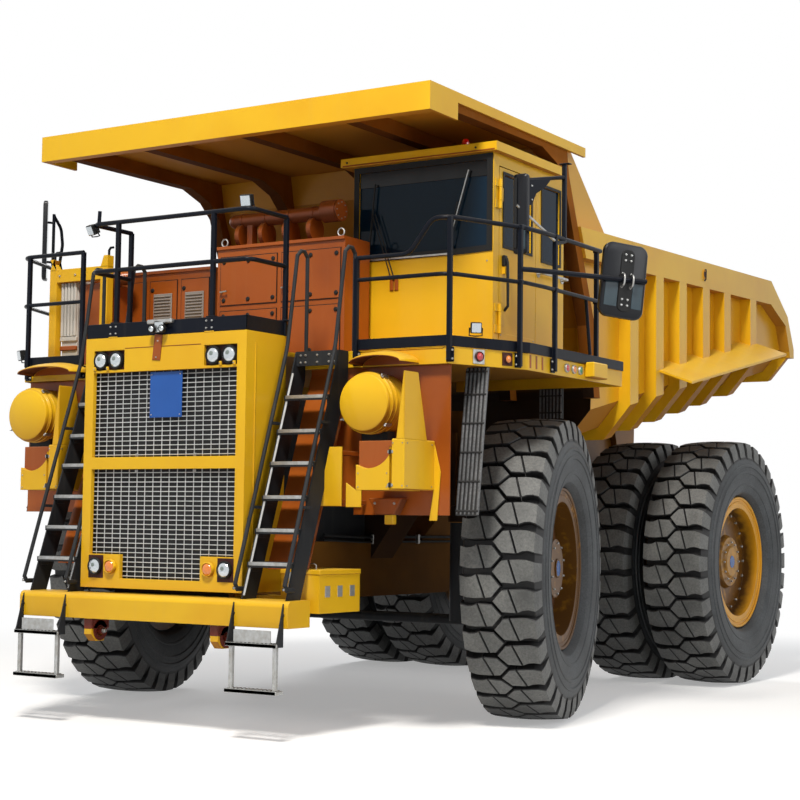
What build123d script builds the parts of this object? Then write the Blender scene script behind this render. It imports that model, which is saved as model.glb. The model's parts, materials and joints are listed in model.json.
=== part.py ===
from build123d import *
import os
from math import cos, hypot, radians, sin

# Rigid mining dump truck, in millimetres. +Z is up, the front faces -Y and the cab stands on
# the +X side. Places along the truck are measured from the front axle, rearwards, and
# export() moves each finished piece so that the origin lies under the middle of the truck.

# wheels
wheelbase = 4570
tyre_radius = 1345
tyre_width = 740
lug_count = 36                  # a side, the two sides half a lug apart
groove_radius = 1264
bead_radius = 622
flange_radius = 724
rim_width = 496
rim_wall = 24
flange_wall = 22
seat_gap = 0.3                  # between a tyre and its rim's barrel
axle_z = tyre_radius
kingpin_x = 1525
kingpin_offset = 660            # from the kingpin to the middle of the front tyre
steer_rest = 13.4               # the front wheels stand turned this far to the left
rear_tyre_x = 2170
dual_spacing = 870
hub_radius = 260
spindle_radius = 100
running_gap = 1

# frame
rail_inner = 360
rail_outer = 620
rail_low_z = 1050
rail_nose_z = 900
engine_deck_z = 1560
cross_tube_radius = 150
strut_radius = 160
strut_bottom_z = 1750
strut_top_z = 2760
strut_gap = 6

# dump pivot and hoists
pivot_y = wheelbase + 830
pivot_z = 2200
pivot_pin_radius = 70
rail_end_radius = 220
ear_radius = 150
hoist_x = 775
hoist_foot_y = 3000
hoist_foot_z = 1100
hoist_head_y = 2800
hoist_head_z = 2500
hoist_barrel_radius = 130
hoist_stage_radius = 108
hoist_rod_radius = 86
hoist_eye_width = 110
hoist_pin_radius = 45
hoist_barrel_length = 1120
hoist_stage_length = 1190
lug_wall = 30

# load body
floor_front_y = 1580
floor_front_z = 2605
floor_slope = 0.2
body_half_width = 2167
rib_depth = 130
rib_width = 200
rib_stations = (2310, 2960, 3590, 4260, 4905, 5750)
side_wall = 30
floor_half_width = 1810
floor_chamfer = 267
body_tail_y = 7190
tail_band = 130
top_rail_front_z = 4620
top_rail_rear_z = 4745
top_rail_depth = 290
ledge_front_y = 2950
ledge_rear_y = 5870
ledge_inner_z = 3370            # at the hoops' outer faces, at its front end
ledge_reach = 363
ledge_drop = 135
ledge_wall = 25

# canopy
canopy_front_y = -1774
canopy_rear_y = 1150
canopy_top_z = 5376
canopy_beam_depth = 240
canopy_plate = 25
canopy_return = 460

# radiator, bumper and steps
radiator_half_width = 874
radiator_front_y = -2494
radiator_rear_y = -1940
radiator_bottom_z = 1152
radiator_top_z = 3300
radiator_wall = 40
grille_half_width = 779
grille_bands = ((1236, 2165), (2268, 2999))
grille_bar = 12
lamp_plate_inner = 435
lamp_pocket = 28
lamp_low_z = 1335
lamp_high_z = 3105
lamp_places = (530, 700)
lamp_radius = 68
grille_pitch_z = 42
grille_pitch_x = 78
marker_places = (-780, -560, 60, 165, 270)
bumper_half_width = 1440
bumper_front_y = -2640
bumper_rear_y = -2340
bumper_bottom_z = 895
bumper_top_z = 1110
step_front_y = -2740
ladder_inner_x = 930
ladder_outer_x = 1380
ladder_plate = 12
ladder_tread_zs = (1405, 1675, 1945, 2225, 2495, 2785)
ladder_rail_radius = 17

# decks and handrails
deck_z = 3170
deck_plate = 40
deck_front_y = -1740
deck_rear_y = 950
deck_half_width = 2650
deck_corner_x = 2340
deck_corner_y = -930
fascia_bottom_z = 3030
kick_top_z = 3262
rail_top_z = 4225
rail_mid_z = 3790
rail_low_front_z = 3945         # in front of the cab, below the windshield
centre_rail_z = 4315
centre_mid_z = 3895
centre_rail_rear_y = -1950
toe_top_z = 3425
rail_tube_radius = 21
rail_post = 50

# cab
cab_inner_x = 740
cab_outer_x = 2200
cab_front_y = -740
cab_rear_y = 620
cab_top_z = 4975
cab_wall = 60
roof_thickness = 80
sill_z = 4145
door_front_y = -640
door_rear_y = 60
door_bottom_z = 3260
door_top_z = 4870
door_gap = 8
glass = 8
hinge_x = cab_outer_x + 16      # the door's hinge pins stand proud of the cab's side
hinge_radius = 15
hinge_heights = (3520, 4620)

origin_y = (body_tail_y + step_front_y) / 2


def box(x0, x1, y0, y1, z0, z1):
    """Block between two opposite corners."""
    return Pos((x0 + x1) / 2, (y0 + y1) / 2, (z0 + z1) / 2) * Box(x1 - x0, y1 - y0, z1 - z0)


def across(points, x0, x1):
    """Solid with a side-view outline of (y, z) points, from x0 to x1."""
    face = Plane.YZ.offset(x0) * make_face(Polyline(*points, close=True))
    return extrude(face, amount=x1 - x0, dir=(1, 0, 0))


def front_outline(points, y):
    """Face of (x, z) points that stands across the truck at y."""
    plane = Plane(origin=(0, y, 0), x_dir=(1, 0, 0), z_dir=(0, -1, 0))
    return plane * make_face(Polyline(*points, close=True))


def lengthwise(points, y0, y1, slope=0):
    """Solid with a front-view outline of (x, z) points, from y0 to y1, rising by slope."""
    reach = (y1 - y0) * hypot(1, slope)
    return extrude(front_outline(points, y0), amount=reach, dir=(0, 1, slope))


def upright(points, z0, z1):
    """Solid with a plan outline of (x, y) points, from z0 to z1."""
    face = Pos(0, 0, z0) * make_face(Polyline(*points, close=True))
    return extrude(face, amount=z1 - z0, dir=(0, 0, 1))


def bar(start, end, radius):
    """Round bar between two points."""
    run = Vector(*end) - Vector(*start)
    return Plane(origin=start, z_dir=run) * Pos(0, 0, run.length / 2) * Cylinder(radius, run.length)


def pin(x0, x1, y, z, radius):
    """Round pin across the truck."""
    return Pos((x0 + x1) / 2, y, z) * Rot(0, 90, 0) * Cylinder(radius, x1 - x0)


def tube(points, radius, bend=45):
    """Round tube through a few points, each bend made in two mitres."""
    run = [Vector(*point) for point in points]
    path = [run[0]]
    for before, corner, after in zip(run, run[1:], run[2:]):
        path += [corner + (before - corner).normalized() * bend, corner + (after - corner).normalized() * bend]
    line = Polyline(*path, run[-1])
    return sweep(Plane(origin=line @ 0, z_dir=line % 0) * Circle(radius), path=line, transition=Transition.RIGHT)


def other_side(shape):
    """The same piece on the truck's right side."""
    return mirror(shape, about=Plane.YZ)


def pair(shape):
    """A piece and its mirror image, as two solids."""
    return solids_of([shape, other_side(shape)])


def solids_of(shapes):
    """One compound of the solids in a list of shapes that don't touch."""
    return Compound(children=[solid for shape in shapes for solid in shape.solids()])


def fuse(shapes):
    return Part() + list(shapes)


def export(shape, node):
    """Writes a node, moved so that the origin is under the middle of the truck."""
    moved = [Pos(0, -origin_y, 0) * solid for solid in shape.solids()]
    export_step(moved[0] if len(moved) == 1 else Compound(children=moved), f"parts/{node}.step")


# ---------------------------------------------------------------- wheels


def lug_ring(x0, x1, turn):
    """Tread of one side: a toothed disc whose teeth are the lugs."""
    points = []
    for i in range(lug_count):
        for radius, share in ((groove_radius, -0.41), (tyre_radius + 5, -0.36),
                              (tyre_radius + 5, 0.36), (groove_radius, 0.41)):
            angle = radians(360 * (i + share) / lug_count + turn)
            points.append((radius * cos(angle), radius * sin(angle)))
    return across(points, x0, x1)


def tyre():
    """Tyre about the X axis, its middle at the origin, with its lugs cut in."""
    half = [(0, bead_radius), (rim_width / 2 - flange_wall, bead_radius),
            (rim_width / 2 - flange_wall, flange_radius + 4), (tyre_width / 2 - 26, 830),
            (tyre_width / 2, 960), (tyre_width / 2 - 4, 1090), (tyre_width / 2 - 32, tyre_radius - 95),
            (tyre_width / 2 - 52, tyre_radius - 18), (0, tyre_radius)]
    outline = half + [(-x, radius) for x, radius in half[-2:0:-1]]
    whole = revolve(make_face(Polyline(*outline, close=True)), axis=Axis.X)
    pitch = 360 / lug_count
    return whole & fuse([lug_ring(-tyre_width, 0, 90), lug_ring(0, tyre_width, 90 + pitch / 2)])


def rim_ring(x):
    """One rim's barrel and its two flanges, about the X axis, its middle at x."""
    half = rim_width / 2
    inner = bead_radius - rim_wall
    points = [(x - half, inner), (x + half, inner), (x + half, flange_radius),
              (x + half - flange_wall, flange_radius), (x + half - flange_wall, bead_radius - seat_gap),
              (x - half + flange_wall, bead_radius - seat_gap), (x - half + flange_wall, flange_radius),
              (x - half, flange_radius)]
    return revolve(make_face(Polyline(*points, close=True)), axis=Axis.X)


def front_rim():
    """Deep dished rim with its hub, which turns on the knuckle's spindle."""
    dish = [(20, spindle_radius + running_gap), (20, 330), (-60, 560), (-60, 598), (-25, 598),
            (-20, 575), (60, 345), (60, 270), (190, 262), (200, 240), (200, 0), (150, 0),
            (150, spindle_radius + running_gap)]
    return fuse([rim_ring(0), revolve(make_face(Polyline(*dish, close=True)), axis=Axis.X)])


def rear_rims():
    """Two rims on one hub that turns about the wheel motor."""
    inner = bead_radius - rim_wall
    spacer_end = rim_width / 2 - dual_spacing
    spacer = [(spacer_end, inner), (-rim_width / 2, inner),
              (-rim_width / 2, bead_radius - seat_gap), (spacer_end, bead_radius - seat_gap)]
    disc = [(40, 0), (40, inner + 2), (80, inner + 2), (95, 480), (95, 300), (150, 270),
            (150, 180), (175, 160), (175, 0)]
    rings = [revolve(make_face(Polyline(*p, close=True)), axis=Axis.X) for p in (spacer, disc)]
    return fuse([rim_ring(0), rim_ring(-dual_spacing)] + rings)


def on_spindle(shape, side):
    """Puts a wheel-frame shape on the left (+1) or right (-1) spindle, steered as it stands."""
    placed = Pos(kingpin_offset, 0, 0) * shape
    if side < 0:
        placed = Rot(0, 0, 180) * placed
    return Pos(side * kingpin_x, 0, axle_z) * Rot(0, 0, steer_rest) * placed


def on_rear_axle(shape, side):
    placed = Pos(rear_tyre_x, 0, 0) * shape
    if side < 0:
        placed = Rot(0, 0, 180) * placed
    return Pos(0, wheelbase, axle_z) * placed


def make_wheels():
    for name, side in (("left", 1), ("right", -1)):
        export(on_spindle(front_rim(), side), f"front_rim_{name}")
        export(on_spindle(tyre(), side), f"front_tyre_{name}")
        export(on_rear_axle(rear_rims(), side), f"rear_rims_{name}")
        twins = [on_rear_axle(Pos(-x, 0, 0) * tyre(), side) for x in (0, dual_spacing)]
        export(solids_of(twins), f"rear_tyres_{name}")


# ---------------------------------------------------------------- steering

arm_reach = 480
arm_z = 930
arm_radius = 75
tie_rod_radius = 48


def knuckle(side):
    """Strut rod, spindle and steering arm of one front wheel, steered as it stands."""
    strut = bar((0, 0, arm_z - 80), (0, 0, strut_bottom_z - strut_gap), strut_radius - 20)
    flange = bar((0, 0, axle_z), (side * 250, 0, axle_z), 230)
    spindle = bar((0, 0, axle_z), (side * (kingpin_offset + 140), 0, axle_z), spindle_radius)
    sleeve = bar((0, 0, axle_z), (side * (kingpin_offset - 80), 0, axle_z), 190)
    arm = box(-60, 60, 0, arm_reach, arm_z - 35, arm_z + 35)
    eye = Pos(0, arm_reach, arm_z) * Cylinder(arm_radius, 70)
    boss = Pos(0, arm_reach, arm_z - 70) * Cylinder(32, 140)
    whole = fuse([strut, flange, sleeve, spindle, arm, eye, boss])
    return Pos(side * kingpin_x, 0, 0) * Rot(0, 0, steer_rest) * whole


def tie_rod():
    """Cross link under the frame between the two steering arms."""
    shift_x, shift_y = -arm_reach * sin(radians(steer_rest)), arm_reach * cos(radians(steer_rest))
    z = arm_z - 100
    ends = [(side * kingpin_x + shift_x, shift_y) for side in (-1, 1)]
    link = bar((*ends[0], z), (*ends[1], z), tie_rod_radius)
    eyes = [Pos(x, y, z) * Cylinder(arm_radius, 110) for x, y in ends]
    bores = [Pos(x, y, z) * Cylinder(32 + running_gap, 200) for x, y in ends]
    return fuse([link] + eyes) - bores


def make_steering():
    export(knuckle(1), "knuckle_left")
    export(knuckle(-1), "knuckle_right")
    export(tie_rod(), "tie_rod")


# ---------------------------------------------------------------- frame and axles


def rail_top(y):
    """Height of the rail's sloping top behind the cab."""
    return 2120 + (y - 1500) * 0.103


def frame_rail():
    """One welded box rail with its round pivot end."""
    outline = [(bumper_rear_y, rail_nose_z), (bumper_rear_y, radiator_bottom_z),
               (-1880, radiator_bottom_z), (-1650, engine_deck_z), (700, engine_deck_z),
               (1500, rail_top(1500)), (pivot_y - 200, rail_top(pivot_y - 200)),
               (pivot_y, pivot_z + rail_end_radius), (pivot_y, pivot_z - rail_end_radius),
               (wheelbase - 820, 1980), (wheelbase - 1320, 1520), (1900, 1450),
               (1250, rail_low_z), (-1500, rail_low_z), (-1700, rail_nose_z)]
    end = pin(rail_inner, rail_outer, pivot_y, pivot_z, rail_end_radius)
    pivot_pin = pin(rail_inner + 40, rail_outer + 115, pivot_y, pivot_z, pivot_pin_radius)
    return fuse([across(outline, rail_inner, rail_outer), end, pivot_pin])


def strut_mount():
    """Left front strut housing and the arm of the cross beam that carries it."""
    housing = bar((kingpin_x, 0, strut_bottom_z), (kingpin_x, 0, strut_top_z), strut_radius)
    arm = lengthwise([(rail_inner, 1400), (rail_inner, 2250), (900, 2500), (kingpin_x, 2560),
                      (kingpin_x, 1900), (900, 1800), (rail_outer, 1400)], -190, 190)
    return fuse([housing, arm])


def hoist_foot():
    """Bracket of the left hoist on the rail, with its pin."""
    cheek = [(2780, 1600), (3200, 1600), (3110, 1000), (2890, 1000)]
    inner = across(cheek, rail_outer - 60, hoist_x - hoist_barrel_radius - 4)
    return fuse([inner, pin(rail_outer - 30, hoist_x + 90, hoist_foot_y, hoist_foot_z, hoist_pin_radius)])


def frame():
    rails = [frame_rail(), strut_mount(), hoist_foot()]
    rails += [other_side(r) for r in rails]
    cross = [box(-rail_inner, rail_inner, bumper_rear_y, -2140, rail_nose_z, radiator_bottom_z),
             box(-rail_inner, rail_inner, -190, 190, 1400, 2250),
             pin(-rail_inner, rail_inner, 1500, 1750, cross_tube_radius),
             pin(-rail_inner, rail_inner, wheelbase - 1270, 1900, cross_tube_radius),
             pin(-rail_inner, rail_inner, pivot_y - 100, pivot_z, cross_tube_radius)]
    return fuse(rails + cross)


def rear_axle():
    """Drive housing with a wheel-motor barrel each side and a nose to the frame."""
    core = box(-640, 640, wheelbase - 420, wheelbase + 420, axle_z - 470, axle_z + 470)
    barrel_end = rear_tyre_x + 25
    barrel = pin(-barrel_end, barrel_end, wheelbase, axle_z, 545)
    nose = loft([front_rectangle(900, 700, wheelbase - 400, axle_z), front_rectangle(300, 300, wheelbase - 1220, 1560)])
    return fuse([core, barrel, nose])


def front_rectangle(width, height, y, z):
    return Plane(origin=(0, y, z), x_dir=(1, 0, 0), z_dir=(0, -1, 0)) * Rectangle(width, height)


def rear_struts():
    """Two suspension struts between the housing and the frame."""
    y = wheelbase + 370
    lower = bar((hoist_x, y + 40, 1790), (hoist_x, y, 2120), 70)
    upper = bar((hoist_x, y, 2120), (hoist_x, y - 40, 2460), 100)
    ear = box(rail_outer, hoist_x, y - 90, y + 10, 2330, 2450)
    return pair(fuse([lower, upper, ear]))


def engine():
    """Engine and alternator as one plain block between and over the rails."""
    sump = box(-rail_inner + 10, rail_inner - 10, -1600, -210, 1100, engine_deck_z)
    return fuse([sump, box(-560, 560, -1640, -210, engine_deck_z, 2600)])


def make_chassis():
    export(frame(), "frame")
    export(rear_axle(), "rear_axle")
    export(rear_struts(), "rear_struts")
    export(engine(), "engine_block")


# ---------------------------------------------------------------- radiator, bumper, steps


def radiator_shell():
    """Open-backed box round the radiator, with two grille openings in its front."""
    w = radiator_half_width
    whole = box(-w, w, radiator_front_y, radiator_rear_y, radiator_bottom_z, radiator_top_z)
    hollow = box(-w + radiator_wall, w - radiator_wall, radiator_front_y + radiator_wall,
                 radiator_rear_y + 10, radiator_bottom_z - 10, radiator_top_z - radiator_wall)
    g = grille_half_width
    mouths = [box(-g, g, radiator_front_y - 10, radiator_front_y + radiator_wall + 10, z0, z1)
              for z0, z1 in grille_bands]
    plate = box(lamp_plate_inner, g, radiator_front_y, radiator_front_y + radiator_wall,
                grille_bands[0][0], lamp_low_z + 105)
    pocket = box(lamp_plate_inner, g, radiator_front_y - 10, radiator_front_y + lamp_pocket,
                 lamp_high_z - 85, lamp_high_z + 85)
    shell = whole - hollow - mouths
    return fuse([shell, plate, other_side(plate)]) - pocket - other_side(pocket)


def grille():
    """Crossed bars that fill the two openings."""
    g = grille_half_width
    y = radiator_front_y + radiator_wall + 6
    bars = []
    for z0, z1 in grille_bands:
        rows = int((z1 - z0) / (2 * grille_pitch_z))
        columns = int(2 * g / (2 * grille_pitch_x))
        for i in range(1, rows):
            z = z0 + (z1 - z0) * i / rows
            bars.append(box(-g, g, y - 6, y + 6, z - grille_bar / 2, z + grille_bar / 2))
        for i in range(1, columns):
            x = -g + 2 * g * i / columns
            bars.append(box(x - grille_bar / 2, x + grille_bar / 2, y, y + 12, z0, z1))
    return solids_of([fuse(bars)])


def radiator_core():
    w = radiator_half_width - radiator_wall
    return box(-w, w, radiator_front_y + 90, radiator_front_y + 330, radiator_bottom_z + 20,
               radiator_top_z - radiator_wall)


def bumper():
    """Bumper bar with rounded upper edge, and two tow eyes under it."""
    w = bumper_half_width
    bar_solid = box(-w, w, bumper_front_y, bumper_rear_y, bumper_bottom_z, bumper_top_z)
    top = bar_solid.edges().filter_by(Axis.X).sort_by(lambda e: e.center().Y - e.center().Z)[0]
    bar_solid = fillet(top, 50)
    eye = across([(-2600, bumper_bottom_z), (-2600, 760), (-2540, 700), (-2440, 700),
                  (-2380, bumper_bottom_z)], 640, 720)
    eye -= pin(630, 730, -2490, 790, 45)
    return fuse([bar_solid, eye, other_side(eye)])


def lower_step():
    """Left hanging step: two tapered hangers, a step, two legs and the bottom step."""
    y0, y1 = step_front_y, bumper_front_y
    x0, x1 = 900, 1400
    hangers = [across([(y1, bumper_top_z - 20), (y0 + 20, 800), (y0, 760), (y1, 760)], x, x + 12)
               for x in (x0, x1 - 12)]
    tread = box(x0, x1, y0, y1, 750, 775)
    legs = [box(x, x + 30, y0 + 30, y0 + 60, 400, 750) for x in (x0 + 20, x1 - 50)]
    foot = box(x0, x1, y0, y1, 385, 410)
    return fuse(hangers + legs + [tread, foot])


def ladder_front(z):
    """Station of the stringers' front edge at height z."""
    foot_y, head_y = bumper_front_y + 60, deck_front_y - 142
    return foot_y + (head_y - foot_y) * (z - bumper_top_z) / (deck_z - bumper_top_z)


def ladder():
    """Left ladder: two stringer plates, folded treads and the plate at its head."""
    outline = [(ladder_front(bumper_top_z), bumper_top_z), (ladder_front(bumper_top_z) + 190, bumper_top_z),
               (deck_front_y - 12, deck_z - 236), (deck_front_y - 12, deck_z), (ladder_front(deck_z), deck_z)]
    x0, x1 = ladder_inner_x, ladder_outer_x
    stringers = [across(outline, x, x + ladder_plate) for x in (x0, x1 - ladder_plate)]
    treads = []
    for z in ladder_tread_zs:
        y = ladder_front(z) - 25
        treads.append(across([(y, z), (y + 175, z), (y + 175, z - 8), (y + 8, z - 8), (y + 8, z - 42),
                              (y, z - 42)], x0, x1))
    y = ladder_front(deck_z)
    landing = across([(y, deck_z - 125), (y, deck_z), (deck_front_y - 12, deck_z), (deck_front_y - 12, deck_z - 10),
                      (y + 10, deck_z - 10), (y + 10, deck_z - 125)], x0, x1)
    rails = [ladder_rail(x) for x in (x0 - 20, x1 + 20)]
    return fuse(stringers + treads + [landing] + rails)


def ladder_rail(x):
    """Hairpin handrail at x: off the stringer's foot, up in front of it and back to the deck."""
    low, high = bumper_top_z + 80, deck_z + 875
    foot, head = ladder_front(low) - 95, ladder_front(deck_z) - 95
    path = [(ladder_front(low) + 40, low), (foot, low), (head, deck_z + 20), (head + 135, high),
            (deck_front_y + 40, high), (deck_front_y + 40, deck_z)]
    hairpin = tube([(x, y, z) for y, z in path], ladder_rail_radius)
    clips = [box(x - 20, x + 20, ladder_front(z) - 90, ladder_front(z) + 25, z - 12, z + 12)
             for z in (bumper_top_z + 90, 1850, 2550)]
    return fuse([hairpin] + clips)


def make_front():
    export(radiator_shell(), "radiator_shell")
    export(radiator_core(), "radiator_core")
    export(grille(), "grille")
    export(bumper(), "bumper")
    export(solids_of([lower_step(), ladder(), other_side(lower_step()), other_side(ladder())]), "ladders")


# ---------------------------------------------------------------- decks, fenders, rails


def deck_outline(shrink=0):
    """Plan of the left deck, from the radiator's side to its clipped outer corner."""
    s = shrink
    return [(radiator_half_width + 6, deck_front_y + s), (deck_corner_x - s / 2, deck_front_y + s),
            (deck_half_width - s, deck_corner_y), (deck_half_width - s, deck_rear_y - s),
            (radiator_half_width + 6, deck_rear_y - s)]


def deck():
    """Left deck: floor plate on a down-turned edge."""
    floor = upright(deck_outline(), deck_z - deck_plate, deck_z)
    edge = upright(deck_outline(), fascia_bottom_z, deck_z - deck_plate)
    edge -= upright(deck_outline(30), fascia_bottom_z - 5, deck_z)
    return fuse([floor, edge])


def centre_deck():
    """Walkway behind the radiator, level with the decks."""
    w = radiator_half_width
    return box(-w, w, radiator_rear_y + 6, deck_rear_y, deck_z - deck_plate, deck_z)


def rounded_box(x0, x1, y0, y1, z0, z1):
    """Sheet box with rolled edges round its front face at y0."""
    whole = box(x0, x1, y0, y1, z0, z1)
    return chamfer(whole.faces().sort_by(Axis.Y)[0].edges(), 14)


def fender():
    """Left wheelhouse front: a plate behind two boxes and a tapered one."""
    low = rounded_box(1920, 2330, -1860, -1670, 2000, 2405)
    middle = rounded_box(1460, 1870, -1860, -1670, 1990, 2420)
    high = lengthwise([(1960, 2405), (2280, 2405), (2240, 2985), (1900, 2985)], -1840, -1670)
    return solids_of([fuse([low, high]), middle])


def wheelhouse():
    """Left plate behind the fender boxes, and the sloping one behind the ladder."""
    plate = box(ladder_outer_x + 20, 2330, -1670, -1660, 1800, fascia_bottom_z)
    slope = across([(ladder_front(1345) + 240, 1345), (ladder_front(1345) + 250, 1345),
                    (-1660, 2980), (-1660, fascia_bottom_z), (-1670, fascia_bottom_z), (-1670, 2980)],
                   ladder_inner_x + 20, ladder_outer_x - 20)
    joint = box(ladder_outer_x - 20, ladder_outer_x + 20, -1670, -1660, 2800, fascia_bottom_z)
    return fuse([plate, slope, joint])


def air_cleaner():
    body = Pos(1630, -1600, 2715) * Rot(90, 0, 0) * Cylinder(250, 480)
    cap = Pos(1630, -1855, 2715) * Rot(90, 0, 0) * Cylinder(215, 60)
    return fuse([body, cap]) - box(1300, 2000, -1670, -1655, 2300, 3000)


def post(x, y, low, high):
    half = rail_post / 2
    return box(x - half, x + half, y - half, y + half, low, high)


def side_rails(front_x, front_z, mast_z):
    """Left deck's rails, from front_x round the clipped corner; one post carries a mirror."""
    front, side = deck_front_y - 30, deck_half_width + 30
    corner = [(deck_corner_x - 10, front), (side, deck_corner_y + 20)]
    end = (side, deck_rear_y - 40)
    level = [(x, y, rail_top_z) for x, y in [*corner, end]]
    start = [(front_x, front, front_z)]
    if front_z < rail_top_z:
        start += [(1980, front, front_z), (2230, front, rail_top_z)]
    rails = [tube(start + level, rail_tube_radius, 30),
             tube([(x, y, rail_mid_z) for x, y in [(front_x, front), *corner, end]], rail_tube_radius)]
    low = fascia_bottom_z + 10
    uprights = [post(front_x, front, low, front_z), post(side, -300, low, mast_z)]
    uprights += [post(x, y, low, rail_top_z) for x, y in [*corner, (side, 480), end]]
    return fuse(rails + uprights + [kick_plate(front_x)])


def kick_plate(front_x):
    """Left toe board along the front, the clipped corner and the side."""
    outer = [(front_x - 20, deck_front_y - 15), (deck_corner_x, deck_front_y - 15),
             (deck_half_width + 15, deck_corner_y), (deck_half_width + 15, deck_rear_y)]
    inner = [(x - 10, y + 10) for x, y in outer]
    return upright(outer + inner[::-1], deck_z + 2, kick_top_z)


def centre_rails():
    """Rails and toe board on top of the radiator, open towards the deck."""
    w, front, rear = radiator_half_width - 12, radiator_front_y + 40, centre_rail_rear_y
    path = [(-w, rear), (-w, front), (w, front), (w, rear)]
    rails = [tube([(x, y, z) for x, y in path], rail_tube_radius) for z in (centre_rail_z, centre_mid_z)]
    uprights = [post(x, y, radiator_top_z, centre_rail_z)
                for x, y in ((-w, rear), (-570, front), (480, front), (w, rear))]
    board = box(-w - 10, w + 10, front - 38, rear + 25, radiator_top_z, toe_top_z)
    board -= box(-w, w, front - 28, rear + 30, radiator_top_z - 5, toe_top_z + 5)
    return fuse(rails + uprights + [board])


def make_decks():
    export(fuse([deck(), other_side(deck()), centre_deck()]), "decks")
    export(pair(wheelhouse()), "wheelhouse")
    export(pair(fender()), "fenders")
    export(pair(air_cleaner()), "air_cleaners")
    left = side_rails(1420, rail_low_front_z, rail_top_z + 680)
    right = other_side(side_rails(1660, rail_top_z, rail_top_z + 680))
    export(solids_of([left, right, centre_rails()]), "handrails")


# ---------------------------------------------------------------- cab


def cab_shell():
    """Hollow cab with its windows and door opening cut; its roof is a piece of its own."""
    whole = box(cab_inner_x, cab_outer_x, cab_front_y, cab_rear_y, deck_z, cab_top_z)
    w = cab_wall
    room = box(cab_inner_x + w, cab_outer_x - w, cab_front_y + w, cab_rear_y - w, deck_z + w, cab_top_z + 5)
    doorway = box(cab_outer_x - w - 5, cab_outer_x + 5, door_front_y, door_rear_y, door_bottom_z, door_top_z)
    return fuse([whole - room - doorway - window_openings()] + hinge_halves(-1))


def hinge_halves(leaf):
    """Barrels of both door hinges: the door's middle ones for leaf +1, the shell's outer ones for -1."""
    halves = []
    for z in hinge_heights:
        spans = [(z - 58, z + 58)] if leaf > 0 else [(z - 130, z - 60), (z + 60, z + 130)]
        y = door_front_y + (door_gap if leaf > 0 else 0)
        for z0, z1 in spans:
            halves.append(bar((hinge_x, door_front_y, z0), (hinge_x, door_front_y, z1), hinge_radius))
            strap = sorted((door_front_y, y + leaf * 70))
            halves.append(box(cab_outer_x - 2, cab_outer_x + 8, *strap, z0, z1))
    return halves


windows = {
    "windshield": ("front", cab_inner_x + 60, cab_outer_x - 60, sill_z, cab_top_z - 60),
    "rear": ("back", cab_inner_x + 250, cab_outer_x - 250, sill_z + 60, cab_top_z - 160),
    "quarter": ("left", 180, 530, sill_z, cab_top_z - 150),
    "inner": ("right", -560, 300, sill_z, cab_top_z - 150),
}


def window_block(wall, low, high, z0, z1, depth_low, depth_high):
    """Block through a cab wall, or a pane within it, between two depths from the outside."""
    if wall == "front":
        return box(low, high, cab_front_y + depth_low, cab_front_y + depth_high, z0, z1)
    if wall == "back":
        return box(low, high, cab_rear_y - depth_high, cab_rear_y - depth_low, z0, z1)
    if wall == "left":
        return box(cab_outer_x - depth_high, cab_outer_x - depth_low, low, high, z0, z1)
    return box(cab_inner_x + depth_low, cab_inner_x + depth_high, low, high, z0, z1)


def window_openings():
    return [window_block(*spec, -5, cab_wall + 5) for spec in windows.values()]


def cab_glass():
    return solids_of([window_block(*spec, 14, 14 + glass) for spec in windows.values()])


def cab_roof():
    """Slab that overhangs the cab on three sides."""
    return box(cab_inner_x - 110, cab_outer_x + 60, cab_front_y - 60, cab_rear_y - 60, cab_top_z,
               cab_top_z + roof_thickness)


def door():
    """Door panel with its window, as thick as the cab's wall."""
    g = door_gap
    panel = box(cab_outer_x - cab_wall, cab_outer_x, door_front_y + g, door_rear_y - g,
                door_bottom_z + g, door_top_z - g)
    window = box(cab_outer_x - cab_wall - 5, cab_outer_x + 5, *door_window)
    handle = box(cab_outer_x, cab_outer_x + 30, -575, -545, 3920, 4070)
    return fuse([panel - window, handle] + hinge_halves(1))


door_window = (-550, -40, sill_z + 30, cab_top_z - 170)


def door_glass():
    return box(cab_outer_x - 14 - glass, cab_outer_x - 14, *door_window)


def seat():
    """Driver's seat and steering column, standing on the cab floor."""
    floor = deck_z + cab_wall
    base = box(1350, 1700, -60, 300, floor, floor + 350)
    cushion = box(1270, 1780, -150, 350, floor + 350, floor + 480)
    back = across([(260, floor + 480), (360, floor + 480), (460, floor + 1150), (370, floor + 1150)], 1290, 1760)
    return fuse([base, cushion, back])


def dashboard():
    floor = deck_z + cab_wall
    front = cab_front_y + cab_wall
    desk = across([(front, floor), (front, floor + 860), (front + 230, floor + 820), (front + 160, floor)],
                  cab_inner_x + 120, cab_outer_x - 120)
    column = bar((1525, front + 150, floor + 700), (1525, front + 330, floor + 900), 35)
    rim = revolve(make_face(Pos(210, 0, 0) * Rot(90, 0, 0) * RegularPolygon(18, 6)), axis=Axis.Z)
    wheel = Pos(1525, front + 345, floor + 915) * Rot(-42, 0, 0) * rim
    spokes = Pos(1525, front + 345, floor + 915) * Rot(-42, 0, 0) * Box(400, 40, 20)
    return fuse([desk, column, wheel, spokes])


def make_cab():
    export(cab_shell(), "cab_shell")
    export(cab_roof(), "cab_roof")
    export(cab_glass(), "cab_glass")
    export(door(), "cab_door")
    export(door_glass(), "door_glass")
    export(seat(), "driver_seat")
    export(dashboard(), "dashboard")


# ---------------------------------------------------------------- cabinets, tanks, small pieces


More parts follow.
